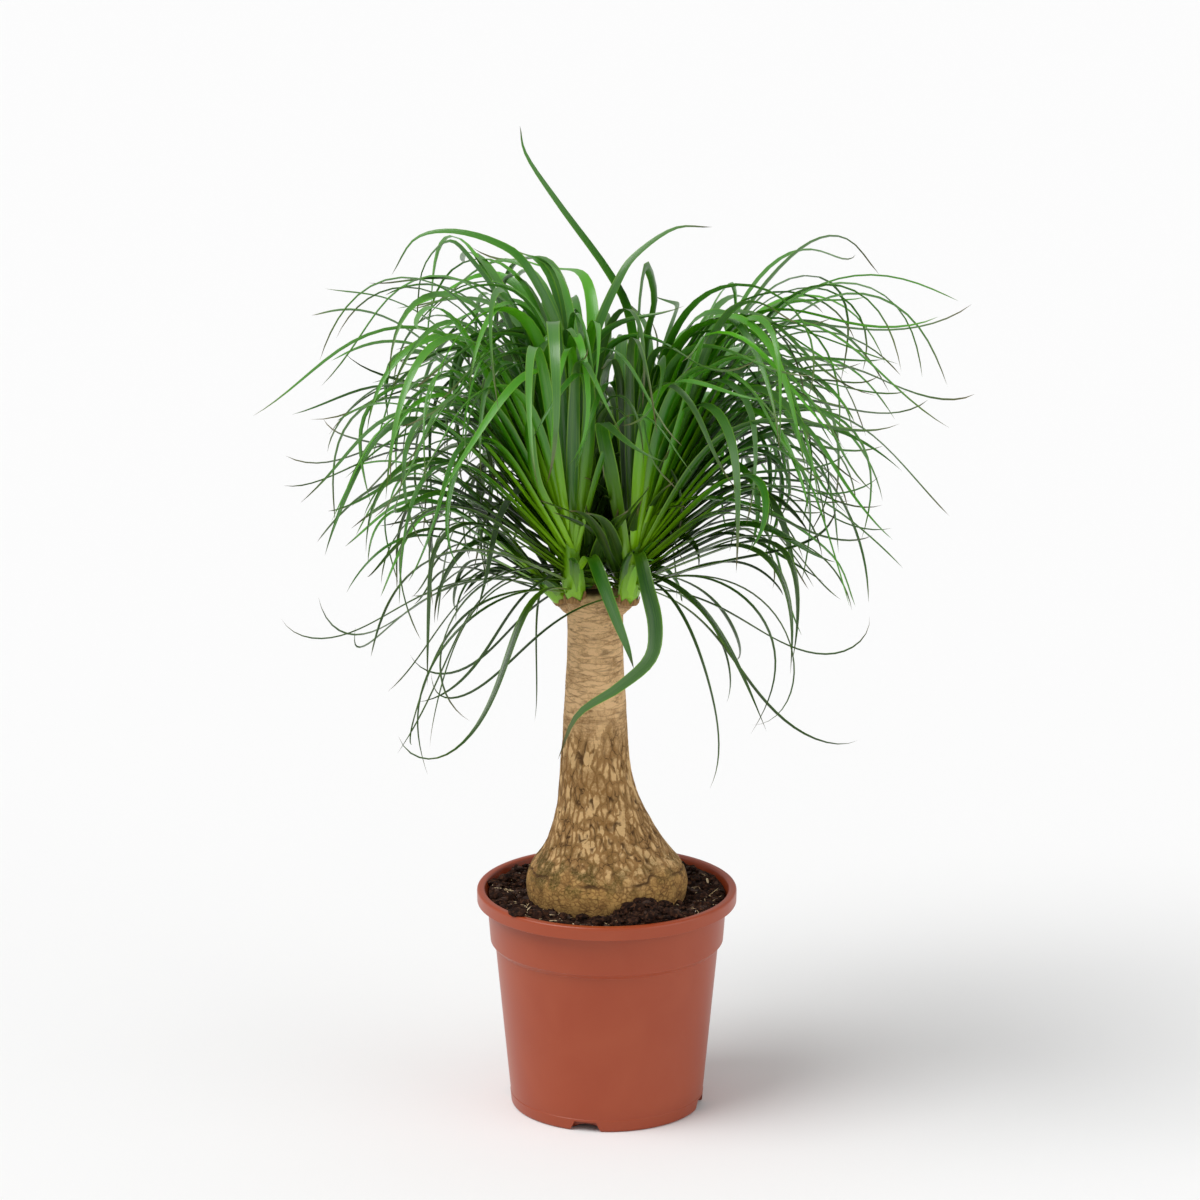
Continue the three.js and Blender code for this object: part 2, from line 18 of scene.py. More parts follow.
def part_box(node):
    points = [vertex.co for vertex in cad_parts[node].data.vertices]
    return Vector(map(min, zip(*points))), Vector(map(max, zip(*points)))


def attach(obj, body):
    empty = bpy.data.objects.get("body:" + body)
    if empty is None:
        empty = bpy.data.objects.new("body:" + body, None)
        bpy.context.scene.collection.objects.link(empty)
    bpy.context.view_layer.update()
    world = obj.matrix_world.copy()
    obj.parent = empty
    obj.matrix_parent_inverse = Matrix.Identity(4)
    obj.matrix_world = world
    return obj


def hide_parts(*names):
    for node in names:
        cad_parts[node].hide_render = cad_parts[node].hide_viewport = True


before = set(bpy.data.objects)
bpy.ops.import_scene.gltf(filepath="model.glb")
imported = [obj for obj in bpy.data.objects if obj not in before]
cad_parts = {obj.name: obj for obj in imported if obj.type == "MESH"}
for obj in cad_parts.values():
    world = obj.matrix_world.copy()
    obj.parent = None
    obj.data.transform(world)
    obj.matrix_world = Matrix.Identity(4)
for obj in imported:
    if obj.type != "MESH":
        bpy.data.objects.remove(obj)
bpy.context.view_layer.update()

log = logging.getLogger("ponytail_palm")

MM = 0.001
UP = np.array((0.0, 0.0, 1.0))
GOLDEN_ANGLE_DEG = 137.508
NOISE_SEED = 5

Point = tuple[float, float, float]
Colour = tuple[float, float, float, float]
Inputs = dict[str | int, object]


class Slot(Enum):
    """The record's material slots."""

    POT = "pot"
    SOIL = "soil"
    BARK = "bark"
    LEAVES = "leaves"


class Draw:
    """Random numbers that come out the same on every run."""

    def __init__(self, seed: int) -> None:
        """Starts the numbers from a seed."""
        self.state = seed

    def between(self, low: float, high: float) -> float:
        """Gives the next number between two bounds."""
        self.state = (self.state * 1664525 + 1013904223) % 4294967296
        return low + (high - low) * self.state / 4294967296


def smooth_step(low: float, high: float, value: float) -> float:
    """Gives 0 up to the first bound, 1 from the second one on, and a soft change between them."""
    share = min(1.0, max(0.0, (value - low) / (high - low)))
    return share * share * (3 - 2 * share)


def unit(vector: np.ndarray) -> np.ndarray:
    """Gives a vector's direction, at length one."""
    return vector / np.linalg.norm(vector)


def facing(azimuth_deg: float) -> np.ndarray:
    """Gives the level direction at an angle from the front."""
    side = math.radians(azimuth_deg)
    return np.array((math.sin(side), -math.cos(side), 0.0))


def catmull_rom(points: Iterable[tuple[float, ...]], steps: int) -> np.ndarray:
    """Runs a smooth curve through points.

    Args:
        points: the places that the curve passes through.
        steps: how many straight pieces the curve is given as.

    Returns:
        The curve's points, one more than the steps.
    """
    places = np.array(list(points), float)
    padded = np.vstack((2 * places[0] - places[1], places, 2 * places[-1] - places[-2]))
    along = np.linspace(0, len(places) - 1, steps + 1)
    span = np.minimum(along.astype(int), len(places) - 2)
    t = (along - span)[:, None]
    before, start, end, after = (padded[span + i] for i in range(4))
    leaving = 0.5 * (end - before)
    arriving = 0.5 * (after - start)
    square = -3 * start + 3 * end - 2 * leaving - arriving
    cube = 2 * start - 2 * end + leaving + arriving
    return start + leaving * t + square * t**2 + cube * t**3


def srgb(code: str) -> Colour:
    """Turns an sRGB hex colour to linear RGBA."""
    parts = [int(code[i : i + 2], 16) / 255 for i in (0, 2, 4)]
    linear = [c / 12.92 if c <= 0.04045 else ((c + 0.055) / 1.055) ** 2.4 for c in parts]
    return (*linear, 1.0)


def add_node(
    tree: bpy.types.NodeTree,
    kind: str,
    settings: dict[str, object] | None = None,
    inputs: Inputs | None = None,
) -> bpy.types.Node:
    """Adds a shader node with its settings and links.

    Args:
        tree: the node tree that it joins.
        kind: the node's type, without the words that all shader nodes start with.
        settings: the node's own options, and under "stops" a ramp's places and hex colours.
        inputs: what each socket gets, a number, a colour or another node's output.

    Returns:
        The node.
    """
    node = tree.nodes.new("ShaderNode" + kind)
    for name, value in (settings or {}).items():
        if name == "stops":
            elements = node.color_ramp.elements
            while len(elements) < len(value):
                elements.new(0.5)
            for element, (place, code) in zip(elements, value):
                element.position = place
                element.color = srgb(code)
        else:
            setattr(node, name, value)
    for name, value in (inputs or {}).items():
        if isinstance(value, bpy.types.NodeSocket):
            tree.links.new(value, node.inputs[name])
        else:
            node.inputs[name].default_value = value
    return node


def new_tree(name: str) -> bpy.types.NodeTree:
    """Starts a material with an empty node tree, and gives the tree."""
    material = bpy.data.materials.new(name)
    material.use_nodes = True
    material.node_tree.nodes.clear()
    return material.node_tree


def close_tree(tree: bpy.types.NodeTree, name: str, surface: Inputs) -> bpy.types.Material:
    """Ends a material with its Principled shader.

    Args:
        tree: the material's node tree.
        name: the material's name.
        surface: what each of the shader's sockets gets.

    Returns:
        The finished material.
    """
    shader = add_node(tree, "BsdfPrincipled", inputs=surface)
    add_node(tree, "OutputMaterial", inputs={"Surface": shader.outputs["BSDF"]})
    return bpy.data.materials[name]


@dataclass(frozen=True)
class MouldedPolypropylene:
    """Injection-moulded polypropylene: a satin skin with soft, wide highlights and faint flow marks."""

    name: str = "injection-moulded polypropylene"
    colour: str = "9d3f1b"
    flow_colour: str = "a34724"
    soil_film: str = "6d3f2c"
    grain_mm: float = 0.9
    flow_mm: float = 46.0
    film_mm: float = 22.0

    def make(self) -> bpy.types.Material:
        """Builds the material."""
        tree = new_tree(self.name)
        place = add_node(tree, "TexCoord").outputs["Object"]
        flow = add_node(tree, "TexNoise", inputs={
            "Vector": place, "Scale": 1 / (self.flow_mm * MM), "Detail": 3.0, "Distortion": 0.6,
        })
        grain = add_node(tree, "TexNoise", inputs={
            "Vector": place, "Scale": 1 / (self.grain_mm * MM), "Detail": 2.0,
        })
        base = add_node(tree, "ValToRGB", {"stops": [(0.3, self.colour), (0.75, self.flow_colour)]},
                        {"Fac": flow.outputs["Fac"]})
        height = add_node(tree, "SeparateXYZ", inputs={"Vector": place}).outputs["Z"]
        near_foot = add_node(tree, "MapRange", {"interpolation_type": "SMOOTHSTEP"}, {
            "Value": height, "From Min": self.film_mm * MM, "From Max": 0.0, "To Max": 0.22,
        })
        film = add_node(tree, "Math", {"operation": "MULTIPLY"}, {
            0: near_foot.outputs["Result"], 1: flow.outputs["Fac"],
        })
        colour = add_node(tree, "MixRGB", inputs={
            "Fac": film.outputs["Value"], "Color1": base.outputs["Color"],
            "Color2": srgb(self.soil_film),
        })
        gloss = add_node(tree, "MapRange", inputs={
            "Value": flow.outputs["Fac"], "To Min": 0.3, "To Max": 0.42,
        })
        bump = add_node(tree, "Bump", inputs={
            "Height": grain.outputs["Fac"], "Strength": 0.05, "Distance": 0.0002,
        })
        return close_tree(tree, self.name, {
            "Base Color": colour.outputs["Color"], "Roughness": gloss.outputs["Result"],
            "IOR": 1.49, "Normal": bump.outputs["Normal"],
        })


@dataclass(frozen=True)
class DampPeat:
    """Damp peat and bark fines: nearly black crumbs with brown ones among them and hardly any gloss."""

    name: str = "damp peat and bark fines"
    dark: str = "120603"
    mid: str = "2f180d"
    light: str = "63412c"
    crumb_mm: float = 1.8
    dust_mm: float = 0.6

    def make(self) -> bpy.types.Material:
        """Builds the material."""
        tree = new_tree(self.name)
        place = add_node(tree, "TexCoord").outputs["Object"]
        crumbs = add_node(tree, "TexVoronoi", inputs={
            "Vector": place, "Scale": 1 / (self.crumb_mm * MM), "Randomness": 1.0,
        })
        dust = add_node(tree, "TexNoise", inputs={
            "Vector": place, "Scale": 1 / (self.dust_mm * MM), "Detail": 4.0,
        })
        tone = add_node(tree, "MixRGB", inputs={
            "Fac": 0.55, "Color1": crumbs.outputs["Color"], "Color2": dust.outputs["Color"],
        })
        grey = add_node(tree, "RGBToBW", inputs={"Color": tone.outputs["Color"]})
        colour = add_node(tree, "ValToRGB", {
            "stops": [(0.32, self.dark), (0.55, self.mid), (0.78, self.light)],
        }, {"Fac": grey.outputs["Val"]})
        relief = add_node(tree, "Math", {"operation": "ADD"}, {
            0: crumbs.outputs["Distance"], 1: dust.outputs["Fac"],
        })
        bump = add_node(tree, "Bump", inputs={
            "Height": relief.outputs["Value"], "Strength": 0.8, "Distance": 0.0008,
        })
        return close_tree(tree, self.name, {
            "Base Color": colour.outputs["Color"], "Roughness": 0.9,
            "Specular IOR Level": 0.2, "Normal": bump.outputs["Normal"],
        })


@dataclass(frozen=True)
class Speck:
    """Loose stuff in the mix, such as perlite or straw fibre: dull, pale and a little stained."""

    name: str
    clean: str
    stained: str
    grain_mm: float
    roughness: float = 0.75

    def make(self) -> bpy.types.Material:
        """Builds the material."""
        tree = new_tree(self.name)
        place = add_node(tree, "TexCoord").outputs["Object"]
        stain = add_node(tree, "TexNoise", inputs={
            "Vector": place, "Scale": 1 / (self.grain_mm * MM), "Detail": 3.0,
        })
        colour = add_node(tree, "ValToRGB", {"stops": [(0.35, self.stained), (0.6, self.clean)]},
                          {"Fac": stain.outputs["Fac"]})
        bump = add_node(tree, "Bump", inputs={
            "Height": stain.outputs["Fac"], "Strength": 0.5, "Distance": 0.0003,
        })
        return close_tree(tree, self.name, {
            "Base Color": colour.outputs["Color"], "Roughness": self.roughness,
            "Normal": bump.outputs["Normal"],
        })


@dataclass(frozen=True)
class BarkBelt:
    """How bark breaks up in one belt: its plates' width and height, and their edges' widths.

    The crack and the darker band beside it, partly wear and partly painted shade, are shares of a
    plate, and strength is how dark they are.
    """

    wide_mm: float
    high_mm: float
    crack: float
    worn_and_shaded: float
    strength: float


@dataclass(frozen=True)
class CorkyBark:
    """Corky bark: pale dry plates over brown fissures, golden low down, creased and tan above.

    It reads the mesh's "bark" attribute: crack, plate tone, moss, and height zone from 0 to 1.
    """

    name: str = "corky bark"
    foot_belt: BarkBelt = BarkBelt(4.2, 3.0, 0.06, 0.22, 0.7)
    plate_belt: BarkBelt = BarkBelt(4.8, 13.0, 0.06, 0.36, 0.85)
    crease_belt: BarkBelt = BarkBelt(17.0, 3.4, 0.05, 0.14, 0.3)
    golden: str = "bb9254"
    plate: str = "d6b07a"
    upper: str = "e2bb8a"
    shade: str = "8c6535"
    fissure: str = "50361a"
    moss: str = "49400f"
    grit_mm: float = 1.4
    warp_mm: float = 3.2
    warp_reach_mm: float = 2.4

    def broken(self, tree: bpy.types.NodeTree, place: bpy.types.NodeSocket,
               belt: BarkBelt) -> list[bpy.types.NodeSocket]:
        """Draws one belt's plates all over the stem.

        Args:
            tree: the material's node tree.
            place: the place on the bark.
            belt: how the bark breaks up.

        Returns:
            The share of dark crack, the share of the darker band beside it (partly wear, partly painted
            shade), and a chance for each plate.
        """
        stretch = (1 / (belt.wide_mm * MM), 1 / (belt.wide_mm * MM), 1 / (belt.high_mm * MM))
        lanes = add_node(tree, "Mapping", inputs={"Vector": place, "Scale": stretch})
        patches = add_node(tree, "TexNoise", inputs={
            "Vector": lanes.outputs["Vector"], "Scale": 0.45, "Detail": 3.0, "Roughness": 0.6,
        })
        edge = add_node(tree, "TexVoronoi", {"feature": "DISTANCE_TO_EDGE"}, {
            "Vector": lanes.outputs["Vector"], "Scale": 1.0,
        })
        seat = add_node(tree, "TexVoronoi", inputs={"Vector": lanes.outputs["Vector"], "Scale": 1.0})
        chance = add_node(tree, "SeparateColor", inputs={"Color": seat.outputs["Color"]})
        found = []
        for width, start in ((belt.crack, 0.46), (belt.worn_and_shaded, 0.36)):
            reach = add_node(tree, "MapRange", inputs={
                "Value": patches.outputs["Fac"], "From Min": start, "From Max": start + 0.2,
                "To Min": 0.0001, "To Max": width,
            })
            share = add_node(tree, "Math", {"operation": "DIVIDE"}, {
                0: edge.outputs["Distance"], 1: reach.outputs["Result"],
            })
            soft = add_node(tree, "MapRange", {"interpolation_type": "SMOOTHSTEP"}, {
                "Value": share.outputs["Value"], "From Min": 1.3, "From Max": 0.4,
                "To Max": belt.strength,
            })
            found.append(soft.outputs["Result"])
        return [*found, chance.outputs["Red"]]

    def plates(self, tree: bpy.types.NodeTree, place: bpy.types.NodeSocket,
               zone: bpy.types.NodeSocket) -> list[bpy.types.NodeSocket]:
        """Blends the three belts' plates by the height zone.

        Args:
            tree: the material's node tree.
            place: the place on the bark.
            zone: the height zone.

        Returns:
            The share of dark crack, the share of the darker band beside it (partly wear, partly painted
            shade), and a chance for each plate.
        """
        warp = add_node(tree, "TexNoise", inputs={
            "Vector": place, "Scale": 1 / (self.warp_mm * MM), "Detail": 2.0,
        })
        bent = add_node(tree, "VectorMath", {"operation": "MULTIPLY_ADD"}, {
            0: warp.outputs["Color"], 1: (self.warp_reach_mm * MM,) * 3, 2: place,
        }).outputs["Vector"]
        blended = self.broken(tree, bent, self.foot_belt)
        for belt, start in ((self.plate_belt, 0.0), (self.crease_belt, 0.5)):
            share = add_node(tree, "MapRange", inputs={
                "Value": zone, "From Min": start, "From Max": start + 0.5,
            })
            blended = [
                add_node(tree, "Mix", inputs={
                    "Factor": share.outputs["Result"], "A": below, "B": above,
                }).outputs["Result"]
                for below, above in zip(blended, self.broken(tree, bent, belt))
            ]
        return blended

    def make(self) -> bpy.types.Material:
        """Builds the material."""
        tree = new_tree(self.name)
        place = add_node(tree, "TexCoord").outputs["Object"]
        bark = add_node(tree, "Attribute", {"attribute_name": "bark"})
        parts = add_node(tree, "SeparateColor", inputs={"Color": bark.outputs["Color"]})
        line, tone, moss = (parts.outputs[i] for i in range(3))
        crack, worn_and_shaded, chance = self.plates(tree, place, bark.outputs["Alpha"])
        base = add_node(tree, "ValToRGB", {
            "stops": [(0.0, self.golden), (0.45, self.plate), (1.0, self.upper)],
        }, {"Fac": bark.outputs["Alpha"]})
        grit = add_node(tree, "TexNoise", inputs={
            "Vector": place, "Scale": 1 / (self.grit_mm * MM), "Detail": 5.0, "Roughness": 0.7,
        })
        weather = add_node(tree, "Math", {"operation": "MULTIPLY_ADD"}, {
            0: chance, 1: 0.34, 2: grit.outputs["Fac"],
        })
        dust = add_node(tree, "Math", {"operation": "MULTIPLY_ADD"}, {
            0: tone, 1: 0.42, 2: weather.outputs["Value"],
        })
        dusty = add_node(tree, "MapRange", inputs={
            "Value": dust.outputs["Value"], "From Min": 0.72, "From Max": 1.2, "To Max": 0.85,
        })
        tufts = add_node(tree, "MapRange", inputs={
            "Value": grit.outputs["Fac"], "From Min": 0.35, "From Max": 0.62, "To Min": 0.3,
        })
        mossy = add_node(tree, "Math", {"operation": "MULTIPLY"}, {0: moss, 1: tufts.outputs["Result"]})
        colour = base.outputs["Color"]
        # The band beside each crack is mixed in the shade colour: partly wear, partly painted shade on
        # the fissures' sunken sides.
        for share, paint in ((dusty.outputs["Result"], self.shade), (worn_and_shaded, self.shade),
                             (mossy.outputs["Value"], self.moss), (crack, self.fissure),
                             (line, self.fissure)):
            colour = add_node(tree, "MixRGB", inputs={
                "Fac": share, "Color1": colour, "Color2": srgb(paint),
            }).outputs["Color"]
        sunk = add_node(tree, "Math", {"operation": "MULTIPLY_ADD"}, {0: worn_and_shaded, 1: 0.5, 2: crack})
        relief = add_node(tree, "Math", {"operation": "MULTIPLY_ADD"}, {
            0: sunk.outputs["Value"], 1: -0.8, 2: grit.outputs["Fac"],
        })
        bump = add_node(tree, "Bump", inputs={
            "Height": relief.outputs["Value"], "Strength": 0.7, "Distance": 0.0009,
        })
        return close_tree(tree, self.name, {
            "Base Color": colour, "Roughness": 0.86,
            "Specular IOR Level": 0.3, "Normal": bump.outputs["Normal"],
        })


@dataclass(frozen=True)
class DriedScale:
    """Dried leaf base: papery brown scales with fine fibres, dull, and paler at their edges."""

    name: str = "dried leaf base"
    dark: str = "6a4826"
    light: str = "b78d54"
    fibre_mm: float = 0.7

    def make(self) -> bpy.types.Material:
        """Builds the material."""
        tree = new_tree(self.name)
        place = add_node(tree, "TexCoord").outputs["Object"]
        drawn_out = add_node(tree, "Mapping", inputs={"Vector": place, "Scale": (1.0, 1.0, 0.12)})
        fibres = add_node(tree, "TexNoise", inputs={
            "Vector": drawn_out.outputs["Vector"], "Scale": 1 / (self.fibre_mm * MM), "Detail": 3.0,
        })
        colour = add_node(tree, "ValToRGB", {"stops": [(0.3, self.dark), (0.7, self.light)]},
                          {"Fac": fibres.outputs["Fac"]})
        bump = add_node(tree, "Bump", inputs={
            "Height": fibres.outputs["Fac"], "Strength": 0.6, "Distance": 0.0005,
        })
        return close_tree(tree, self.name, {
            "Base Color": colour.outputs["Color"], "Roughness": 0.8,
            "Normal": bump.outputs["Normal"],
        })


@dataclass(frozen=True)
class LeafCuticle:
    """Waxed leaf cuticle: leathery, satin strap leaves with fine veins, a thin pale edge and a painted
    sheen.

    It reads the mesh's "leaf" attribute: share of the length, share across from edge to edge,
    age of the blade and a number drawn for it.
    """

    name: str
    foot: str
    young: str
    grown: str
    # old is an old leaf's dark green, made darker still as painted shade for the crown's inside.
    old: str
    # edge is a pale yellow-green for veins and margins; at the margins it is partly the leaf's own
    # paler green and partly painted light shining through the thin edge.
    edge: str
    tip: str
    # The next colour is a pale grey-green painted on as sheen along the outer part of young blades.
    painted_sheen: str
    vein_count: float = 7.0
    roughness: float = 0.3

    def make(self) -> bpy.types.Material:
        """Builds the material."""
        tree = new_tree(self.name)
        leaf = add_node(tree, "Attribute", {"attribute_name": "leaf"})
        parts = add_node(tree, "SeparateColor", inputs={"Color": leaf.outputs["Color"]})
        along, across, age = (parts.outputs[i] for i in range(3))
        chance = leaf.outputs["Alpha"]
        # The third mask here says where sheen is painted: further along the blade, and more on some
        # blades.
        ageing, reach, waxed_sheen, dying = (
            add_node(tree, "Math", {"operation": "MULTIPLY_ADD"}, {0: chance, 1: part, 2: start})
            for part, start in ((0.6, age), (0.25, along), (0.5, along), (0.12, along))
        )
        youth = add_node(tree, "Math", {"operation": "MULTIPLY_ADD"}, {0: age, 1: -0.85, 2: 1.0})
        beside = add_node(tree, "Math", {"operation": "ABSOLUTE"}, {0: across})
        lanes = add_node(tree, "CombineXYZ", inputs={"X": across, "Y": along, "Z": chance})
        stretched = add_node(tree, "Mapping", inputs={
            "Vector": lanes.outputs["Vector"], "Scale": (self.vein_count, 1.6, 40.0),
        })
        veins = add_node(tree, "TexNoise", inputs={
            "Vector": stretched.outputs["Vector"], "Scale": 1.0, "Detail": 3.0, "Roughness": 0.6,
        })
        # edged marks the thin margin: partly its own paler green, partly painted light shining through
        # it.
        lime, veined, pale, edged, dry = (
            add_node(tree, "MapRange", {"interpolation_type": kind}, {
                "Value": value.outputs[0], "From Min": low, "From Max": high, "To Max": most,
            }).outputs["Result"]
            for kind, value, low, high, most in (
                ("SMOOTHSTEP", reach, 0.5, 0.1, 1.0),
                ("LINEAR", veins, 0.35, 0.7, 0.22),
                ("SMOOTHSTEP", waxed_sheen, 0.7, 1.2, 0.14),
                ("LINEAR", beside, 0.8, 1.0, 0.7),
                ("SMOOTHSTEP", dying, 0.93, 1.12, 1.0),
            )
        )
        lime, pale = (
            add_node(tree, "Math", {"operation": "MULTIPLY"}, {
                0: share, 1: youth.outputs["Value"],
            }).outputs["Value"]
            for share in (lime, pale)
        )
        # The old end of this ramp is darker than an old leaf's own green: painted shade for the crown's
        # inside.
        colour = add_node(tree, "ValToRGB", {
            "stops": [(0.15, self.young), (0.6, self.grown), (1.0, self.old)],
        }, {"Fac": ageing.outputs["Value"]}).outputs["Color"]
        # The pale mix in this loop is painted sheen on the outer, arching part of young blades.
        for share, paint in ((lime, self.foot), (veined, self.edge), (pale, self.painted_sheen),
                             (edged, self.edge), (dry, self.tip)):
            colour = add_node(tree, "MixRGB", inputs={
                "Fac": share, "Color1": colour, "Color2": srgb(paint),
            }).outputs["Color"]
        bump = add_node(tree, "Bump", inputs={
            "Height": veins.outputs["Fac"], "Strength": 0.35, "Distance": 0.0006,
        })
        return close_tree(tree, self.name, {
            "Base Color": colour, "Roughness": self.roughness, "IOR": 1.45,
            "Specular IOR Level": 0.75, "Normal": bump.outputs["Normal"],
        })


@dataclass(frozen=True)
class StudioPaper:
    """Matt studio paper: a pale floor with no gloss."""

    name: str = "matt studio paper"
    colour: str = "f4f4f4"

    def make(self) -> bpy.types.Material:
        """Builds the material."""
        tree = new_tree(self.name)
        return close_tree(tree, self.name, {
            "Base Color": srgb(self.colour), "Roughness": 1.0, "Specular IOR Level": 0.0,
        })


def finish(
    name: str,
    bm: bmesh.types.BMesh,
    material: bpy.types.Material,
    stands_for: str | None = None,
    crease_deg: float = 40.0,
) -> bpy.types.Object:
    """Turns a bmesh in millimetres to a finished piece in metres, which rides with the plant.

    Args:
        name: the piece's name.
        bm: its shape, which is used up.
        material: its finish.
        stands_for: the CAD node that the piece replaces, if it does.
        crease_deg: how far two faces turn from each other where their edge is sharp.

    Returns:
        The piece's object.
    """
    bmesh.ops.scale(bm, vec=(MM, MM, MM), verts=bm.verts)
    mesh = bpy.data.meshes.new(name)
    bm.to_mesh(mesh)
    bm.free()
    mesh.materials.append(material)
    mesh.polygons.foreach_set("use_smooth", [True] * len(mesh.polygons))
    mesh.set_sharp_from_angle(angle=math.radians(crease_deg))
    piece = bpy.data.objects.new(name, mesh)
    bpy.context.scene.collection.objects.link(piece)
    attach(piece, "root")
    if stands_for:
        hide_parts(stands_for)
    log.info("%s: %d faces", name, len(mesh.polygons))
    return piece


def lay_sheet(bm: bmesh.types.BMesh, places: np.ndarray) -> list[bmesh.types.BMVert]:
    """Lays a sheet of faces over a net of places, and leaves the vertices where places meet unmerged.

    Args:
        bm: what the sheet is added to.
        places: the net, as rows by columns by 3.

    Returns:
        The sheet's vertices, row by row, before any of them are merged.
    """
    rows, columns = places.shape[0] - 1, places.shape[1] - 1
    made = bmesh.ops.create_grid(bm, x_segments=rows, y_segments=columns, size=0.5)["verts"]

    def row_and_column(vert: bmesh.types.BMVert) -> tuple[int, int]:
        """Gives where a vertex of the flat grid stands in the net."""
        return round((vert.co.x + 0.5) * rows), round((vert.co.y + 0.5) * columns)

    ordered = sorted(made, key=row_and_column)
    for vert, place in zip(ordered, places.reshape(-1, 3)):
        vert.co = place
    return ordered


def close_seams(bm: bmesh.types.BMesh, gap: float = 1e-4) -> None:
    """Merges the vertices that meet and turns all faces outwards."""
    bmesh.ops.remove_doubles(bm, verts=bm.verts, dist=gap)
    bmesh.ops.recalc_face_normals(bm, faces=bm.faces)


def spin_outline(outline: Iterable[tuple[float, float]], steps: int) -> bmesh.types.BMesh:
    """Spins an outline of radius and height pairs round the Z axis to a closed shape."""
    bm = bmesh.new()
    verts = [bm.verts.new((radius, 0.0, height)) for radius, height in outline]
    edges = [bm.edges.new(pair) for pair in zip(verts, verts[1:])]
    bmesh.ops.spin(bm, geom=verts + edges, cent=(0, 0, 0), axis=(0, 0, 1), dvec=(0, 0, 0),
                   angle=math.tau, steps=steps, use_merge=True, use_duplicate=False)
    close_seams(bm)
    return bm


def rounded(corners: list[Point], steps: int = 4) -> list[tuple[float, float]]:
    """Rounds the corners of an outline, with a short straight run on each side of every arc.

    Args:
        corners: each corner's radius, height and fillet.
        steps: how many straight pieces make an arc.

    Returns:
        The rounded outline as radius and height pairs.
    """
    points = [corners[0][:2]]
    for before, here, after in zip(corners, corners[1:], corners[2:]):
        corner = Vector(here[:2])
        back = Vector(before[:2]) - corner
        ahead = Vector(after[:2]) - corner
        run = min(here[2] / math.tan(back.angle(ahead) / 2), 0.4 * back.length, 0.4 * ahead.length)
        start = corner + back.normalized() * run
        end = corner + ahead.normalized() * run
        points.append(tuple(corner + back.normalized() * run * 1.2))
        for step in range(steps + 1):
            t = step / steps
            points.append(tuple(start * (1 - t) ** 2 + corner * 2 * t * (1 - t) + end * t**2))
        points.append(tuple(corner + ahead.normalized() * run * 1.2))
    points.append(corners[-1][:2])
    return points


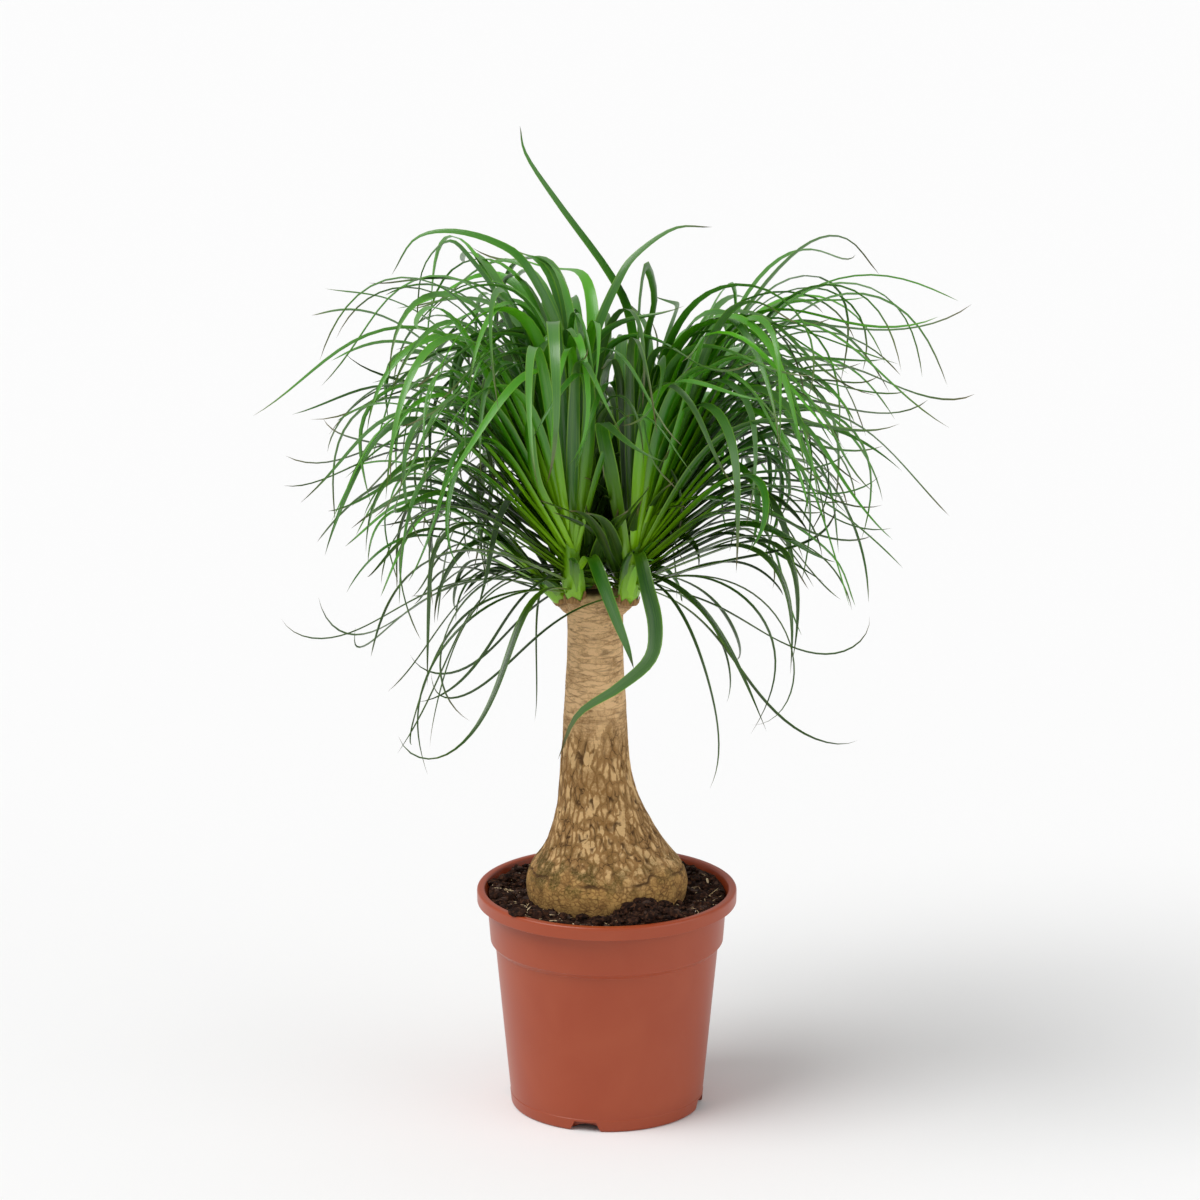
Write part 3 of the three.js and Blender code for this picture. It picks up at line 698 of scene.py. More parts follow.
@dataclass
class NurseryPot:
    """The moulded pot: a rolled lip, a collar above a step, a tapering body and a notched foot."""

    rim_radius: float = 95.0
    height: float = 165.0
    wall: float = 1.6
    lip_drop: float = 10.0
    lip_inner_radius: float = 89.4
    collar_top_radius: float = 87.4
    collar_foot_radius: float = 85.2
    step_height: float = 124.0
    body_top_radius: float = 81.6
    foot_radius: float = 70.6
    foot_band_height: float = 9.0
    ring_inner_radius: float = 63.5
    pad_radius: float = 50.0
    groove_rise: float = 5.0
    sides: int = 160
    notch_turn_deg: float = -13.0
    notch_count: int = 4
    notch_width: float = 24.0
    notch_top_width: float = 16.0
    notch_rise: float = 7.5
    drain_count: int = 8
    drain_radius: float = 4.0

    @property
    def floor_top(self) -> float:
        """The height of the pot's floor inside."""
        return self.wall + 0.3

    def outline(self) -> list[tuple[float, float]]:
        """Gives the wall's outline, up the outside and down the inside."""
        lip_foot = self.height - self.lip_drop
        shelf = self.groove_rise + self.wall
        band_radius = self.foot_radius + 0.6
        return rounded([
            (0, 0, 0),
            (self.pad_radius, 0, 0.8),
            (self.pad_radius + 1.5, self.groove_rise, 0.8),
            (self.ring_inner_radius - 1.5, self.groove_rise, 0.8),
            (self.ring_inner_radius, 0, 0.5),
            (self.foot_radius - 0.2, 0, 2.2),
            (band_radius, self.foot_band_height, 0.15),
            (band_radius - 0.25, self.foot_band_height + 0.35, 0.15),
            (self.body_top_radius, self.step_height - 2.5, 1.6),
            (self.collar_foot_radius, self.step_height + 1.5, 1.6),
            (self.collar_top_radius, lip_foot - 1, 0.6),
            (self.lip_inner_radius + 1.2, self.height - 2.6, 0.8),
            (self.rim_radius - self.wall, self.height - 2.6, 0.8),
            (self.rim_radius - self.wall - 0.2, lip_foot, 0.5),
            (self.rim_radius - 0.2, lip_foot, 0.7),
            (self.rim_radius, self.height, 2.4),
            (self.lip_inner_radius, self.height, 2.2),
            (self.collar_top_radius - self.wall, lip_foot - 1, 0.6),
            (self.collar_foot_radius - self.wall, self.step_height + 0.9, 1.4),
            (self.body_top_radius - self.wall, self.step_height - 3.1, 1.4),
            (self.foot_radius - self.wall + 0.6, shelf + 3, 1.2),
            (self.foot_radius - self.wall - 2, shelf, 0.8),
            (self.pad_radius + 1, shelf, 0.8),
            (self.pad_radius - 0.5, self.floor_top, 0.8),
            (0, self.floor_top, 0),
        ])

    def cutters(self) -> bmesh.types.BMesh:
        """Makes the wedges of the foot's notches and the pegs of the drain holes."""
        bm = bmesh.new()
        depth = self.foot_radius + 5 - self.ring_inner_radius
        for i in range(self.notch_count):
            wedge = bmesh.ops.create_cube(bm, size=1)["verts"]
            for vert in wedge:
                is_top = vert.co.z > 0
                vert.co.x *= self.notch_top_width if is_top else self.notch_width
                vert.co.y = (vert.co.y + 0.5) * depth - self.ring_inner_radius + 1 - depth
                vert.co.z = self.notch_rise if is_top else -1
            self.turn(bm, wedge, i / self.notch_count)
        for i in range(self.drain_count):
            peg = bmesh.ops.create_cone(bm, cap_ends=True, segments=20, radius1=self.drain_radius,
                                        radius2=self.drain_radius, depth=12)["verts"]
            middle = (self.pad_radius + self.ring_inner_radius) / 2
            bmesh.ops.translate(bm, vec=(0, -middle, self.groove_rise), verts=peg)
            self.turn(bm, peg, (i + 0.5) / self.drain_count)
        return bm

    def turn(self, bm: bmesh.types.BMesh, verts: list[bmesh.types.BMVert], share: float) -> None:
        """Turns vertices round the pot's axis by a share of a full turn past the first notch."""
        angle = math.radians(self.notch_turn_deg) + math.tau * share
        bmesh.ops.rotate(bm, cent=(0, 0, 0), matrix=Matrix.Rotation(angle, 3, "Z"), verts=verts)

    def build(self, finish_of: MouldedPolypropylene) -> bpy.types.Object:
        """Spins the wall, cuts the notches and drain holes, and gives the finished pot."""
        bm = spin_outline(self.outline(), self.sides)
        wall = mesh_object("pot_wall", bm)
        tool = mesh_object("pot_cutters", self.cutters())
        cut = wall.modifiers.new("notches", "BOOLEAN")
        cut.operation = "DIFFERENCE"
        cut.solver = "EXACT"
        cut.object = tool
        shaped = bmesh.new()
        shaped.from_object(wall, bpy.context.evaluated_depsgraph_get())
        for scrap in (wall, tool):
            bpy.data.objects.remove(scrap)
        return finish("pot_moulded", shaped, finish_of.make(), "pot", crease_deg=50)


def mesh_object(name: str, bm: bmesh.types.BMesh) -> bpy.types.Object:
    """Puts a bmesh in the scene as a plain object, and frees it."""
    mesh = bpy.data.meshes.new(name)
    bm.to_mesh(mesh)
    bm.free()
    made = bpy.data.objects.new(name, mesh)
    bpy.context.scene.collection.objects.link(made)
    return made


@dataclass
class SwollenStem:
    """The stem: a swollen foot in the mix, a shoulder, a neck, and woody stubs at its cut top."""

    outline: tuple[tuple[float, float], ...] = (
        (106, 20), (118, 42), (138, 53.5), (154, 57), (169, 59.5), (182, 56), (196, 45.8),
        (211, 38.2), (232, 30.6), (262, 25.7), (310, 22.4), (350, 20.4), (384, 20.8),
    )
    bottom: float = 102.0
    top: float = 388.0
    lean: float = -8.5
    lean_start: float = 178.0
    lean_end: float = 265.0
    sides: int = 280
    ring_step: float = 0.85
    root_count: int = 5
    root_length: float = 46.0
    root_radius: float = 7.0
    stub_radius: float = 9.5
    stub_drop: float = 26.0
    stub_rows: int = 16
    stub_sides: int = 36
    scale_count: int = 7
    crack_line: float = 182.0
    foot_belt_ends: tuple[float, float] = (176.0, 194.0)
    crease_belt_starts: tuple[float, float] = (262.0, 316.0)
    fissure_run: tuple[float, float] = (6.5, 34.0)
    crease_run: tuple[float, float] = (20.0, 3.2)
    crack_width: float = 0.12
    fissure_depth: float = 1.2
    crease_depth: float = 0.3
    line_depth: float = 1.3
    moss_height: float = 12.0

    def centre(self, height: float) -> float:
        """Gives how far the stem's axis has leant to the side at a height."""
        return self.lean * smooth_step(self.lean_start, self.lean_end, height)

    def radius(self, height: float) -> float:
        """Gives the stem's radius at a height, from straight lines between its outline's pairs."""
        levels, radii = zip(*self.outline)
        return float(np.interp(height, levels, radii))

    def profile(self) -> list[tuple[float, float]]:
        """Gives the smooth outline from the bottom of the foot to the cut top."""
        curve = catmull_rom([(radius, level) for level, radius in self.outline], 400)
        levels = np.concatenate((np.linspace(106, 146, 14), np.arange(146.5, 384, self.ring_step)))
        radii = np.interp(levels, curve[:, 1], curve[:, 0])
        shoulder = [(19.8, 386.2), (18.2, 387.5), (14, 388.2), (7, 388.8), (0, 389)]
        return [(0, self.bottom), (12, 102.6), *zip(radii, levels), *shoulder]

    def wandering_line(self, spot: Vector, across: float, along: float, width: float) -> float:
        """Gives how much of a wandering line is at a place.

        Args:
            spot: the place.
            across: how far apart the lines are round the stem.
            along: how far they run up the stem before they wander off.
            width: how wide they are, as a share of that.

        Returns:
            A share from 0, beside a line, to 1, on it.
        """
        field_there = noise.noise(Vector((spot.x / across, spot.y / across, spot.z / along)))
        return 1 - smooth_step(0.25 * width, width, abs(field_there))

    def bark(self, spot: Vector) -> tuple[float, Colour]:
        """Works out the bark at a place on the stem's skin.

        Args:
            spot: the place, before the stem leans.

        Returns:
            How deep the bark is sunk there, and its crack, plate tone, moss and height zone.
        """
        height = spot.z
        sway = noise.noise(spot / 17)
        low = 1 - smooth_step(*self.foot_belt_ends, height + 9 * sway)
        upper = smooth_step(*self.crease_belt_starts, height + 18 * sway)
        middle = (1 - low) * (1 - upper)
        bent = spot + 1.6 * noise.noise_vector(spot / 5)
        fissure = self.wandering_line(bent, *self.fissure_run, self.crack_width)
        fissure *= middle * smooth_step(-0.1, 0.35, noise.noise(spot / 7 + Vector((9, 0, 0))))
        crease = self.wandering_line(spot + Vector((13, 0, 5)), *self.crease_run, self.crack_width)
        patchy = smooth_step(-0.25, 0.3, noise.noise(Vector((spot.x / 9, spot.y / 9, height / 5))))
        crease *= upper * patchy
        line = self.crack_line + 5 * noise.noise(Vector((spot.x / 16, spot.y / 16, 3.3)))
        line += 1.5 * noise.noise(Vector((spot.x / 4, spot.y / 4, 7.7)))
        line_share = 1 - smooth_step(0.3, 1.3, abs(height - line))
        line_share *= 0.35 + 0.65 * smooth_step(-0.4, 0.1, noise.noise(spot / 17 + Vector((0, 5, 0))))
        swell = 0.5 + 0.5 * noise.noise(Vector((bent.x / 6, bent.y / 6, bent.z / 15)))
        crack = max(0.9 * fissure, 0.5 * crease, 0.95 * line_share)
        depth = self.fissure_depth * fissure + self.crease_depth * crease
        depth += self.line_depth * line_share + (1.1 - 0.6 * upper) * swell
        seat = Vector((spot.x / 11, spot.y / 11, height / 19))
        blotch = 0.5 + 0.5 * noise.fractal(seat, 1.0, 2.0, 4)
        tone = smooth_step(0.35, 0.85, blotch) * (1 - 0.5 * upper)
        left = smooth_step(0.1, 1.0, -(0.85 * spot.x + 0.5 * spot.y) / max(1.0, spot.xy.length))
        fuzz = smooth_step(-0.2, 0.35, noise.fractal(spot / 9, 1.0, 2.0, 4))
        belt = math.exp(-((height - self.crack_line - 3) / self.moss_height) ** 2)
        moss = fuzz * belt * (0.55 + 0.7 * left) + 0.12 * fuzz * middle
        zone = 0.5 * (1 - low) + 0.5 * upper
        return depth, (min(1.0, crack), tone, min(0.95, moss), zone)

    def build_skin(self) -> bmesh.types.BMesh:
        """Spins the outline and sinks the bark's cracks into it."""
        bm = spin_outline(self.profile(), self.sides)
        layer = bm.verts.layers.float_color.new("bark")
        for vert in bm.verts:
            height = vert.co.z
            if height > 140 and vert.co.xy.length > 12:
                depth, vert[layer] = self.bark(vert.co)
                vert.co.xy *= 1 - depth / vert.co.xy.length
            vert.co.x += self.centre(height)
        return bm

    def add_roots(self, bm: bmesh.types.BMesh) -> None:
        """Adds the tapered roots that spread down and out under the foot."""
        for i in range(self.root_count):
            turn = math.tau / self.root_count * i + math.radians(20)
            out = Vector((math.cos(turn), math.sin(turn), -1.3)).normalized()
            length = self.root_length + (i % 3) * 9
            start = Vector((math.cos(turn) * 24, math.sin(turn) * 24, self.bottom + 20))
            root = bmesh.ops.create_cone(bm, cap_ends=True, segments=12, radius1=self.root_radius,
                                         radius2=2, depth=length)["verts"]
            turned = Vector((0, 0, 1)).rotation_difference(out).to_matrix().to_4x4()
            moved = Matrix.Translation(start + out * length / 2)
            bmesh.ops.transform(bm, verts=root, matrix=moved @ turned)

    def stub(self, head: "LeafyHead") -> tuple[np.ndarray, np.ndarray, float]:
        """Gives the low end, the top end and the radius of the woody stub under a leafy head."""
        low = np.array((self.centre(self.top), 0.0, self.top - self.stub_drop))
        return low, np.array(head.foot, float), self.stub_radius * (0.55 + 0.4 * head.reach)

    def build(self, heads: Iterable["LeafyHead"], finish_of: CorkyBark) -> bpy.types.Object:
        """Gives the finished stem with its roots and its woody stubs."""
        bm = self.build_skin()
        self.add_roots(bm)
        self.add_stubs(bm, bm.verts.layers.float_color["bark"], heads)
        close_seams(bm)
        return finish("stem_bark", bm, finish_of.make(), "stem", crease_deg=180)

    def add_stubs(self, bm: bmesh.types.BMesh, layer: bmesh.types.BMLayerItem,
                  heads: Iterable["LeafyHead"]) -> None:
        """Adds the short woody stubs from inside the cut top up to the leafy heads' feet."""
        for head in heads:
            low, top, radius = self.stub(head)
            rows = np.linspace(0, 1, self.stub_rows)
            turns = np.linspace(0, math.tau, self.stub_sides + 1)
            net = np.empty((len(rows), len(turns), 3))
            for i, share in enumerate(rows):
                for j, turn in enumerate(turns):
                    out = head.outward(turn)
                    spot = Vector(low + (top - low) * share + out * radius)
                    lump = 0.7 * noise.noise(spot / 4) + 0.4 * self.wandering_line(spot, 9, 2.2, 0.12)
                    wide = radius * (0.96 - 0.12 * share**3) - lump
                    net[i, j] = low + (top - low) * share + out * (0 if share in (0, 1) else wide)
                net[i, -1] = net[i, 0]
            for i, vert in enumerate(lay_sheet(bm, net)):
                share = rows[i // len(turns)]
                crease = self.wandering_line(vert.co, 9, 2.2, 0.12)
                brown = smooth_step(0.75, 0.95, share)
                vert[layer] = (0.35 * crease * (1 - brown) + 0.4 * brown, 0.3, 0.0, 1.0)

    def build_scales(self, heads: Iterable["LeafyHead"], finish_of: DriedScale) -> bpy.types.Object:
        """Gives the dry scales that clasp the stubs under the leafy heads."""
        bm = bmesh.new()
        draw = Draw(71)
        for head in heads:
            radius = self.stub(head)[2]
            for i in range(self.scale_count):
                self.add_scale(bm, head, i, radius, draw)
        close_seams(bm)
        return finish("dried_leaf_bases", bm, finish_of.make(), crease_deg=50)

    def add_scale(self, bm: bmesh.types.BMesh, head: "LeafyHead", index: int, radius: float,
                  draw: Draw) -> None:
        """Adds one dry, pointed scale that clasps a stub and reaches a little over the leaf bases."""
        middle = math.radians(index * GOLDEN_ANGLE_DEG + draw.between(-20, 20))
        length = draw.between(4, 8) * (0.5 + 0.5 * head.reach)
        spread = draw.between(0.45, 0.7)
        rise = draw.between(-4, -1)
        flare = draw.between(-1.5, 0.3)
        foot = np.array(head.foot)
        net = []
        for share in np.linspace(0, 1, 7):
            row = []
            for lane in (-1, -0.5, 0, 0.5, 1, 0.5, 0, -0.5, -1):
                turn = middle + spread * lane * (1 - share**1.6)
                thick = 0.0 if abs(lane) == 1 or share == 1 else 0.45
                far = radius * 0.9 + flare * share**2 + (thick if len(row) < 5 else 0.0)
                row.append(foot + head.axis * (rise + length * share) + head.outward(turn) * far)
            net.append(row)
        lay_sheet(bm, np.array(net))


@dataclass
class PottingMix:
    """The mix in the pot: a lumpy bed round the stem, with crumbs, perlite and straw on it."""

    pot: NurseryPot
    stem: SwollenStem
    level: float = 158.0
    heap_place: tuple[float, float] = (27.0, -56.0)
    heap_height: float = 13.0
    heap_spread: float = 22.0
    straw_place: tuple[float, float] = (-42.0, -50.0)
    gap: float = 0.35
    sides: int = 420
    top_step: float = 0.9
    clod_size: float = 5.5
    crumb_size: float = 2.3
    crumb_count: int = 1100
    clod_count: int = 230
    rim_clod: Point = (-64.0, -65.0, 166.0)
    perlite_count: int = 46
    fibre_count: int = 44
    splinter_count: int = 18
    long_straw_count: int = 11

    def wall_radius(self, height: float) -> float:
        """Gives the inside radius of the pot's body at a height."""
        pot = self.pot
        low = pot.groove_rise + pot.wall + 3
        share = (height - low) / (pot.step_height - 3.1 - low)
        return pot.foot_radius - pot.wall + 0.6 + (pot.body_top_radius - pot.foot_radius - 0.6) * share

    def surface(self, x: float, y: float) -> float:
        """Gives the height of the mix's top, with its heap at the front right, at a place."""
        radius = math.hypot(x, y)
        spot = Vector((x, y, 0))
        away = math.hypot(x - self.heap_place[0], y - self.heap_place[1])
        heap = self.heap_height * math.exp(-((away / self.heap_spread) ** 2))
        bank = 3 * smooth_step(70, 84, radius)
        from_clod = noise.voronoi(spot / self.clod_size + 0.3 * noise.noise_vector(spot / 3))[0][0]
        from_crumb = noise.voronoi(spot / self.crumb_size)[0][0]
        lumps = 2.6 * noise.noise(spot / 9) + 2.4 * (0.6 - from_clod) + 0.9 * (0.5 - from_crumb)
        calm = smooth_step(self.top_radius, self.top_radius - 3, radius)
        return self.level + heap + bank + lumps * (0.35 + 0.65 * calm)

    @property
    def top_radius(self) -> float:
        """The radius at which the mix's top meets the pot's collar."""
        return 86.2

    def build_bed(self, finish_of: bpy.types.Material) -> bpy.types.Object:
        """Gives the bed: a solid that fills the pot and leaves a hollow for the stem."""
        pot = self.pot
        bed = pot.floor_top + self.gap
        shelf = pot.groove_rise + pot.wall + self.gap
        side = [
            (0, bed),
            (pot.pad_radius - 0.7, bed),
            (pot.pad_radius + 0.7, shelf),
            (pot.foot_radius - pot.wall - 2.4, shelf),
            (self.wall_radius(shelf + 3) - self.gap, shelf + 3),
            (pot.body_top_radius - pot.wall - self.gap, pot.step_height - 3),
            (pot.collar_foot_radius - pot.wall - self.gap, pot.step_height + 1.6),
            (pot.collar_top_radius - pot.wall - self.gap - 0.4, self.level - 4),
        ]
        top = [(radius, self.level) for radius in np.arange(self.top_radius, 55.5, -self.top_step)]
        hollow = [(self.stem.radius(level) + self.gap, level) for level in np.linspace(145, 106, 12)]
        bm = spin_outline([*side, *top, *hollow, (0, self.stem.bottom - self.gap)], self.sides)
        for vert in bm.verts:
            if vert.co.z > self.level - 1:
                vert.co.z = self.surface(vert.co.x, vert.co.y)
        return finish("potting_mix", bm, finish_of, "soil", crease_deg=180)

    def scatter(self, draw: Draw, inner: float = 58.5, gathered: float = 0.0,
                around: tuple[float, float] | None = None) -> Vector:
        """Draws a place on the mix's top, out of the stem's and the wall's way.

        Args:
            draw: the random numbers.
            inner: the least distance from the pot's axis.
            gathered: the share of places far from the middle that are passed over.
            around: the middle of the places; the heap, if none is given.

        Returns:
            The place.
        """
        middle = around or self.heap_place
        while True:
            turn = draw.between(0, math.tau)
            radius = math.sqrt(draw.between(inner**2, (self.top_radius - 1.5) ** 2))
            x, y = radius * math.cos(turn), radius * math.sin(turn)
            away = math.hypot(x - middle[0], y - middle[1])
            if draw.between(0, 1) > gathered * smooth_step(0.6, 1.5, away / self.heap_spread):
                return Vector((x, y, self.surface(x, y)))

    def build_crumbs(self, name: str, count: int, sizes: tuple[float, float], seed: int,
                     finish_of: bpy.types.Material, gathered: float = 0.0) -> bpy.types.Object:
        """Gives loose crumbs that lie on the mix's top.

        Args:
            name: the piece's name.
            count: how many crumbs there are.
            sizes: the smallest and the largest crumb's half width.
            seed: what the drawing starts from.
            finish_of: the crumbs' finish.
            gathered: how much they keep to the heap, from 0 to 1.

        Returns:
            The piece's object.
        """
        bm = bmesh.new()
        draw = Draw(seed)
        spots = [self.scatter(draw, gathered=gathered) for _ in range(count)]
        if gathered:
            spots[0] = Vector(self.rim_clod)
        for spot in spots:
            fineness = 2 if gathered else 1
            crumb = bmesh.ops.create_icosphere(bm, subdivisions=fineness, radius=1.0)["verts"]
            for vert in crumb:
                vert.co *= draw.between(0.75, 1.2)
            half = draw.between(*sizes) * draw.between(0.6, 1.0)
            wide, high = draw.between(0.8, 1.6), draw.between(0.5, 0.9)
            shape = Matrix.Diagonal((half * wide, half, half * high, 1))
            turn = Matrix.Rotation(draw.between(0, math.tau), 4, "Z")
            turn @= Matrix.Rotation(draw.between(-0.6, 0.6), 4, "X")
            sunk = Matrix.Translation(spot + Vector((0, 0, half * 0.2)))
            bmesh.ops.transform(bm, verts=crumb, matrix=sunk @ turn @ shape)
        return finish(name, bm, finish_of, crease_deg=30)

    def build_straws(self, name: str, count: int, lengths: tuple[float, float],
                     half_widths: tuple[float, float], seed: int, finish_of: bpy.types.Material,
                     gathered: float = 0.0) -> bpy.types.Object:
        """Gives thin bent straws or flat splinters that lie on the mix.

        Args:
            name: the piece's name.
            count: how many there are.
            lengths: the shortest and the longest one's length.
            half_widths: half the width and half the thickness of each.
            seed: what the drawing starts from.
            finish_of: their finish.
            gathered: how much they keep to the front left, from 0 to 1.

        Returns:
            The piece's object.
        """
        bm = bmesh.new()
        draw = Draw(seed)
        for _ in range(count):
            middle = self.scatter(draw, inner=61, gathered=gathered, around=self.straw_place)
            turn = draw.between(0, math.tau)
            bend = draw.between(-0.9, 0.9)
            length = draw.between(*lengths)
            lift = draw.between(0.2, 0.25 * length * draw.between(0, 0.5) + 0.6)
            net = []
            for share in np.linspace(-0.5, 0.5, 9):
                heading = turn + bend * share
                run = Vector((math.cos(heading), math.sin(heading), 0))
                place = middle + run * length * share
                reach = place.xy.length
                limit = min(max(reach, 60.5), self.top_radius - 2)
                place.xy *= limit / reach
                ground = max(self.surface(place.x, place.y), middle.z)
                place.z = ground + 0.3 + lift * (share + 0.5) ** 2
                beside = Vector((-run.y, run.x, 0))
                taper = 0.0 if abs(share) == 0.5 else 1.0
                ring = []
                for corner in np.linspace(0, math.tau, 6):
                    across = beside * math.cos(corner) * half_widths[0] * taper
                    up = Vector((0, 0, math.sin(corner) * half_widths[1] * taper))
                    ring.append(place + across + up)
                ring[-1] = ring[0]
                net.append(ring)
            lay_sheet(bm, np.array([[tuple(p) for p in ring] for ring in net]))
        close_seams(bm)
        return finish(name, bm, finish_of, crease_deg=60)

    def build(self) -> list[bpy.types.Object]:
        """Gives the bed and everything loose on it."""
        peat = DampPeat().make()
        perlite = Speck("expanded perlite", "e6dfd2", "b7a68c", 1.4).make()
        straw = Speck("straw fibre", "cdb38a", "8f7350", 2.2, 0.6).make()
        wood = Speck("split wood fibre", "d9c4a0", "a98c66", 3.0, 0.65).make()
        bark = Speck("composted bark chip", "4a2f20", "24150e", 2.0, 0.8).make()
        return [
            self.build_bed(peat),
            self.build_crumbs("peat_crumbs", self.crumb_count, (0.9, 2.6), 101, peat),
            self.build_crumbs("peat_clods", self.clod_count, (2.4, 5.6), 121, peat, gathered=0.85),
            self.build_crumbs("bark_chips", self.crumb_count // 5, (1.2, 3.2), 131, bark),
            self.build_crumbs("perlite_grains", self.perlite_count, (0.5, 1.1), 151, perlite),
            self.build_straws("straw_fibres", self.fibre_count, (9, 26), (0.35, 0.3), 171, straw),
            self.build_straws("long_straws", self.long_straw_count, (20, 36), (0.5, 0.4), 187, wood,
                              gathered=1.0),
            self.build_straws("wood_splinters", self.splinter_count, (5, 11), (0.9, 0.35), 191, wood),
        ]


@dataclass(frozen=True)
class TracedBlade:
    """An outstanding blade: its width, and the points that its centre line passes through."""

    width: float
    points: tuple[Point, ...]


@dataclass(frozen=True)
class LeafyHead:
    """A leafy head: the foot of its sheath, its lean over a unit of height, and its blades."""

    name: str
    seed: int
    foot: Point
    lean: tuple[float, float]
    leaves: int
    reach: float
    traced: tuple[TracedBlade, ...] = ()

    @property
    def axis(self) -> np.ndarray:
        """The direction in which the head grows."""
        return unit(np.array((*self.lean, 1.0)))

    def outward(self, turn: float) -> np.ndarray:
        """Gives the direction away from the head's axis at a turn round it."""
        side = unit(np.cross((0.0, 1.0, 0.0), self.axis))
        return side * math.cos(turn) + np.cross(self.axis, side) * math.sin(turn)


HEADS = (
    LeafyHead("rosette_front_left", 11, (-23, -11, 388), (-0.08, -0.12), 60, 1.0, (
        TracedBlade(11, ((-23, -16, 419), (-36, -30, 450), (-50, -42, 481), (-55, -50, 520),
                         (-53, -56, 563), (-40, -58, 588), (-23, -54, 570), (-11, -50, 543))),
        TracedBlade(13, ((-21, -14, 420), (-32, -26, 463), (-42, -36, 516), (-40, -42, 560),
                         (-27, -44, 576), (-12, -44, 559), (-5, -44, 518), (-2, -46, 482))),
        TracedBlade(11, ((-24, -13, 416), (-19, -8, 473), (-16, -4, 531), (-8, 0, 577),
                         (8, 6, 615), (21, 12, 633), (48, 20, 650), (75, 26, 650))),
        TracedBlade(11, ((-24, -10, 418), (-37, -6, 487), (-52, -4, 529), (-74, 0, 597),
                         (-97, 2, 632), (-113, 4, 644), (-131, 6, 623), (-136, 8, 580))),
        TracedBlade(9, ((-25, -12, 418), (-44, -16, 457), (-62, -20, 481), (-83, -26, 507),
                        (-108, -32, 528), (-127, -36, 525), (-141, -38, 502), (-148, -40, 466))),
        TracedBlade(12, ((-20, -16, 408), (-12, -32, 423), (-4, -48, 409), (6, -56, 384),
                         (14, -60, 364), (19, -62, 348))),
    )),
    LeafyHead("rosette_front_right", 23, (15, -10, 386), (0.16, -0.12), 59, 1.0, (
        TracedBlade(10, ((19, -10, 417), (21, -4, 465), (22, 0, 530), (17, 6, 587),
                         (2, 14, 619), (-34, 30, 666), (-57, 40, 699), (-62, 44, 720))),
        TracedBlade(12, ((21, -14, 418), (24, -14, 460), (23, -14, 511), (28, -18, 574),
                         (34, -22, 609), (27, -36, 634), (22, -54, 600), (24, -64, 544),
                         (32, -66, 502), (50, -68, 480))),
        TracedBlade(12, ((22, -10, 417), (29, -8, 473), (41, -6, 525), (60, -4, 554),
                         (86, 0, 579), (120, 6, 622), (148, 10, 644), (172, 14, 643),
                         (194, 18, 617))),
        TracedBlade(12, ((23, -13, 417), (36, -22, 451), (55, -30, 464), (77, -38, 467),
                         (105, -46, 463), (136, -54, 449), (163, -60, 426), (176, -62, 394))),
        TracedBlade(13, ((17, -14, 408), (22, -30, 425), (28, -48, 405), (34, -60, 379),
                         (30, -72, 358), (8, -78, 339), (-21, -76, 318), (-35, -70, 283))),
        TracedBlade(12, ((19, -12, 400), (38, -16, 410), (50, -18, 400), (54, -20, 386))),
    )),
    LeafyHead("rosette_back", 37, (-12, 13, 389), (-0.1, 0.24), 45, 0.95, (
        TracedBlade(9, ((-14, 20, 418), (-19, 24, 495), (-32, 28, 567), (-57, 34, 619),
                        (-80, 40, 636), (-112, 46, 643), (-138, 50, 636), (-155, 54, 609))),
    )),
    LeafyHead("rosette_back_right", 41, (12, 12, 388), (0.3, 0.22), 36, 0.8),
    LeafyHead("rosette_side_shoot", 53, (-33, 2, 383), (-0.9, -0.1), 9, 0.5),
)


@dataclass(frozen=True)
class Trait:
    """A measure of a blade: what a young one has, what age adds, and how far it strays from that."""

    young: float
    ageing: float
    least: float
    most: float

    def drawn(self, age: float, draw: Draw) -> float:
        """Draws the measure for a blade of an age."""
        return self.young + self.ageing * age + draw.between(self.least, self.most)


@dataclass
class Blade:
    """One blade: its centre line, its greatest width, its twist, and its age from 0 to 1.

    Its foot is a share of its width, its keel is another, and shown is how much of the colours
    from a blade's foot to its tip it has.
    """

    line: np.ndarray
    width: float
    twist: float
    age: float
    foot: float = 0.5
    keel: float = 0.17
    shown: float = 1.0


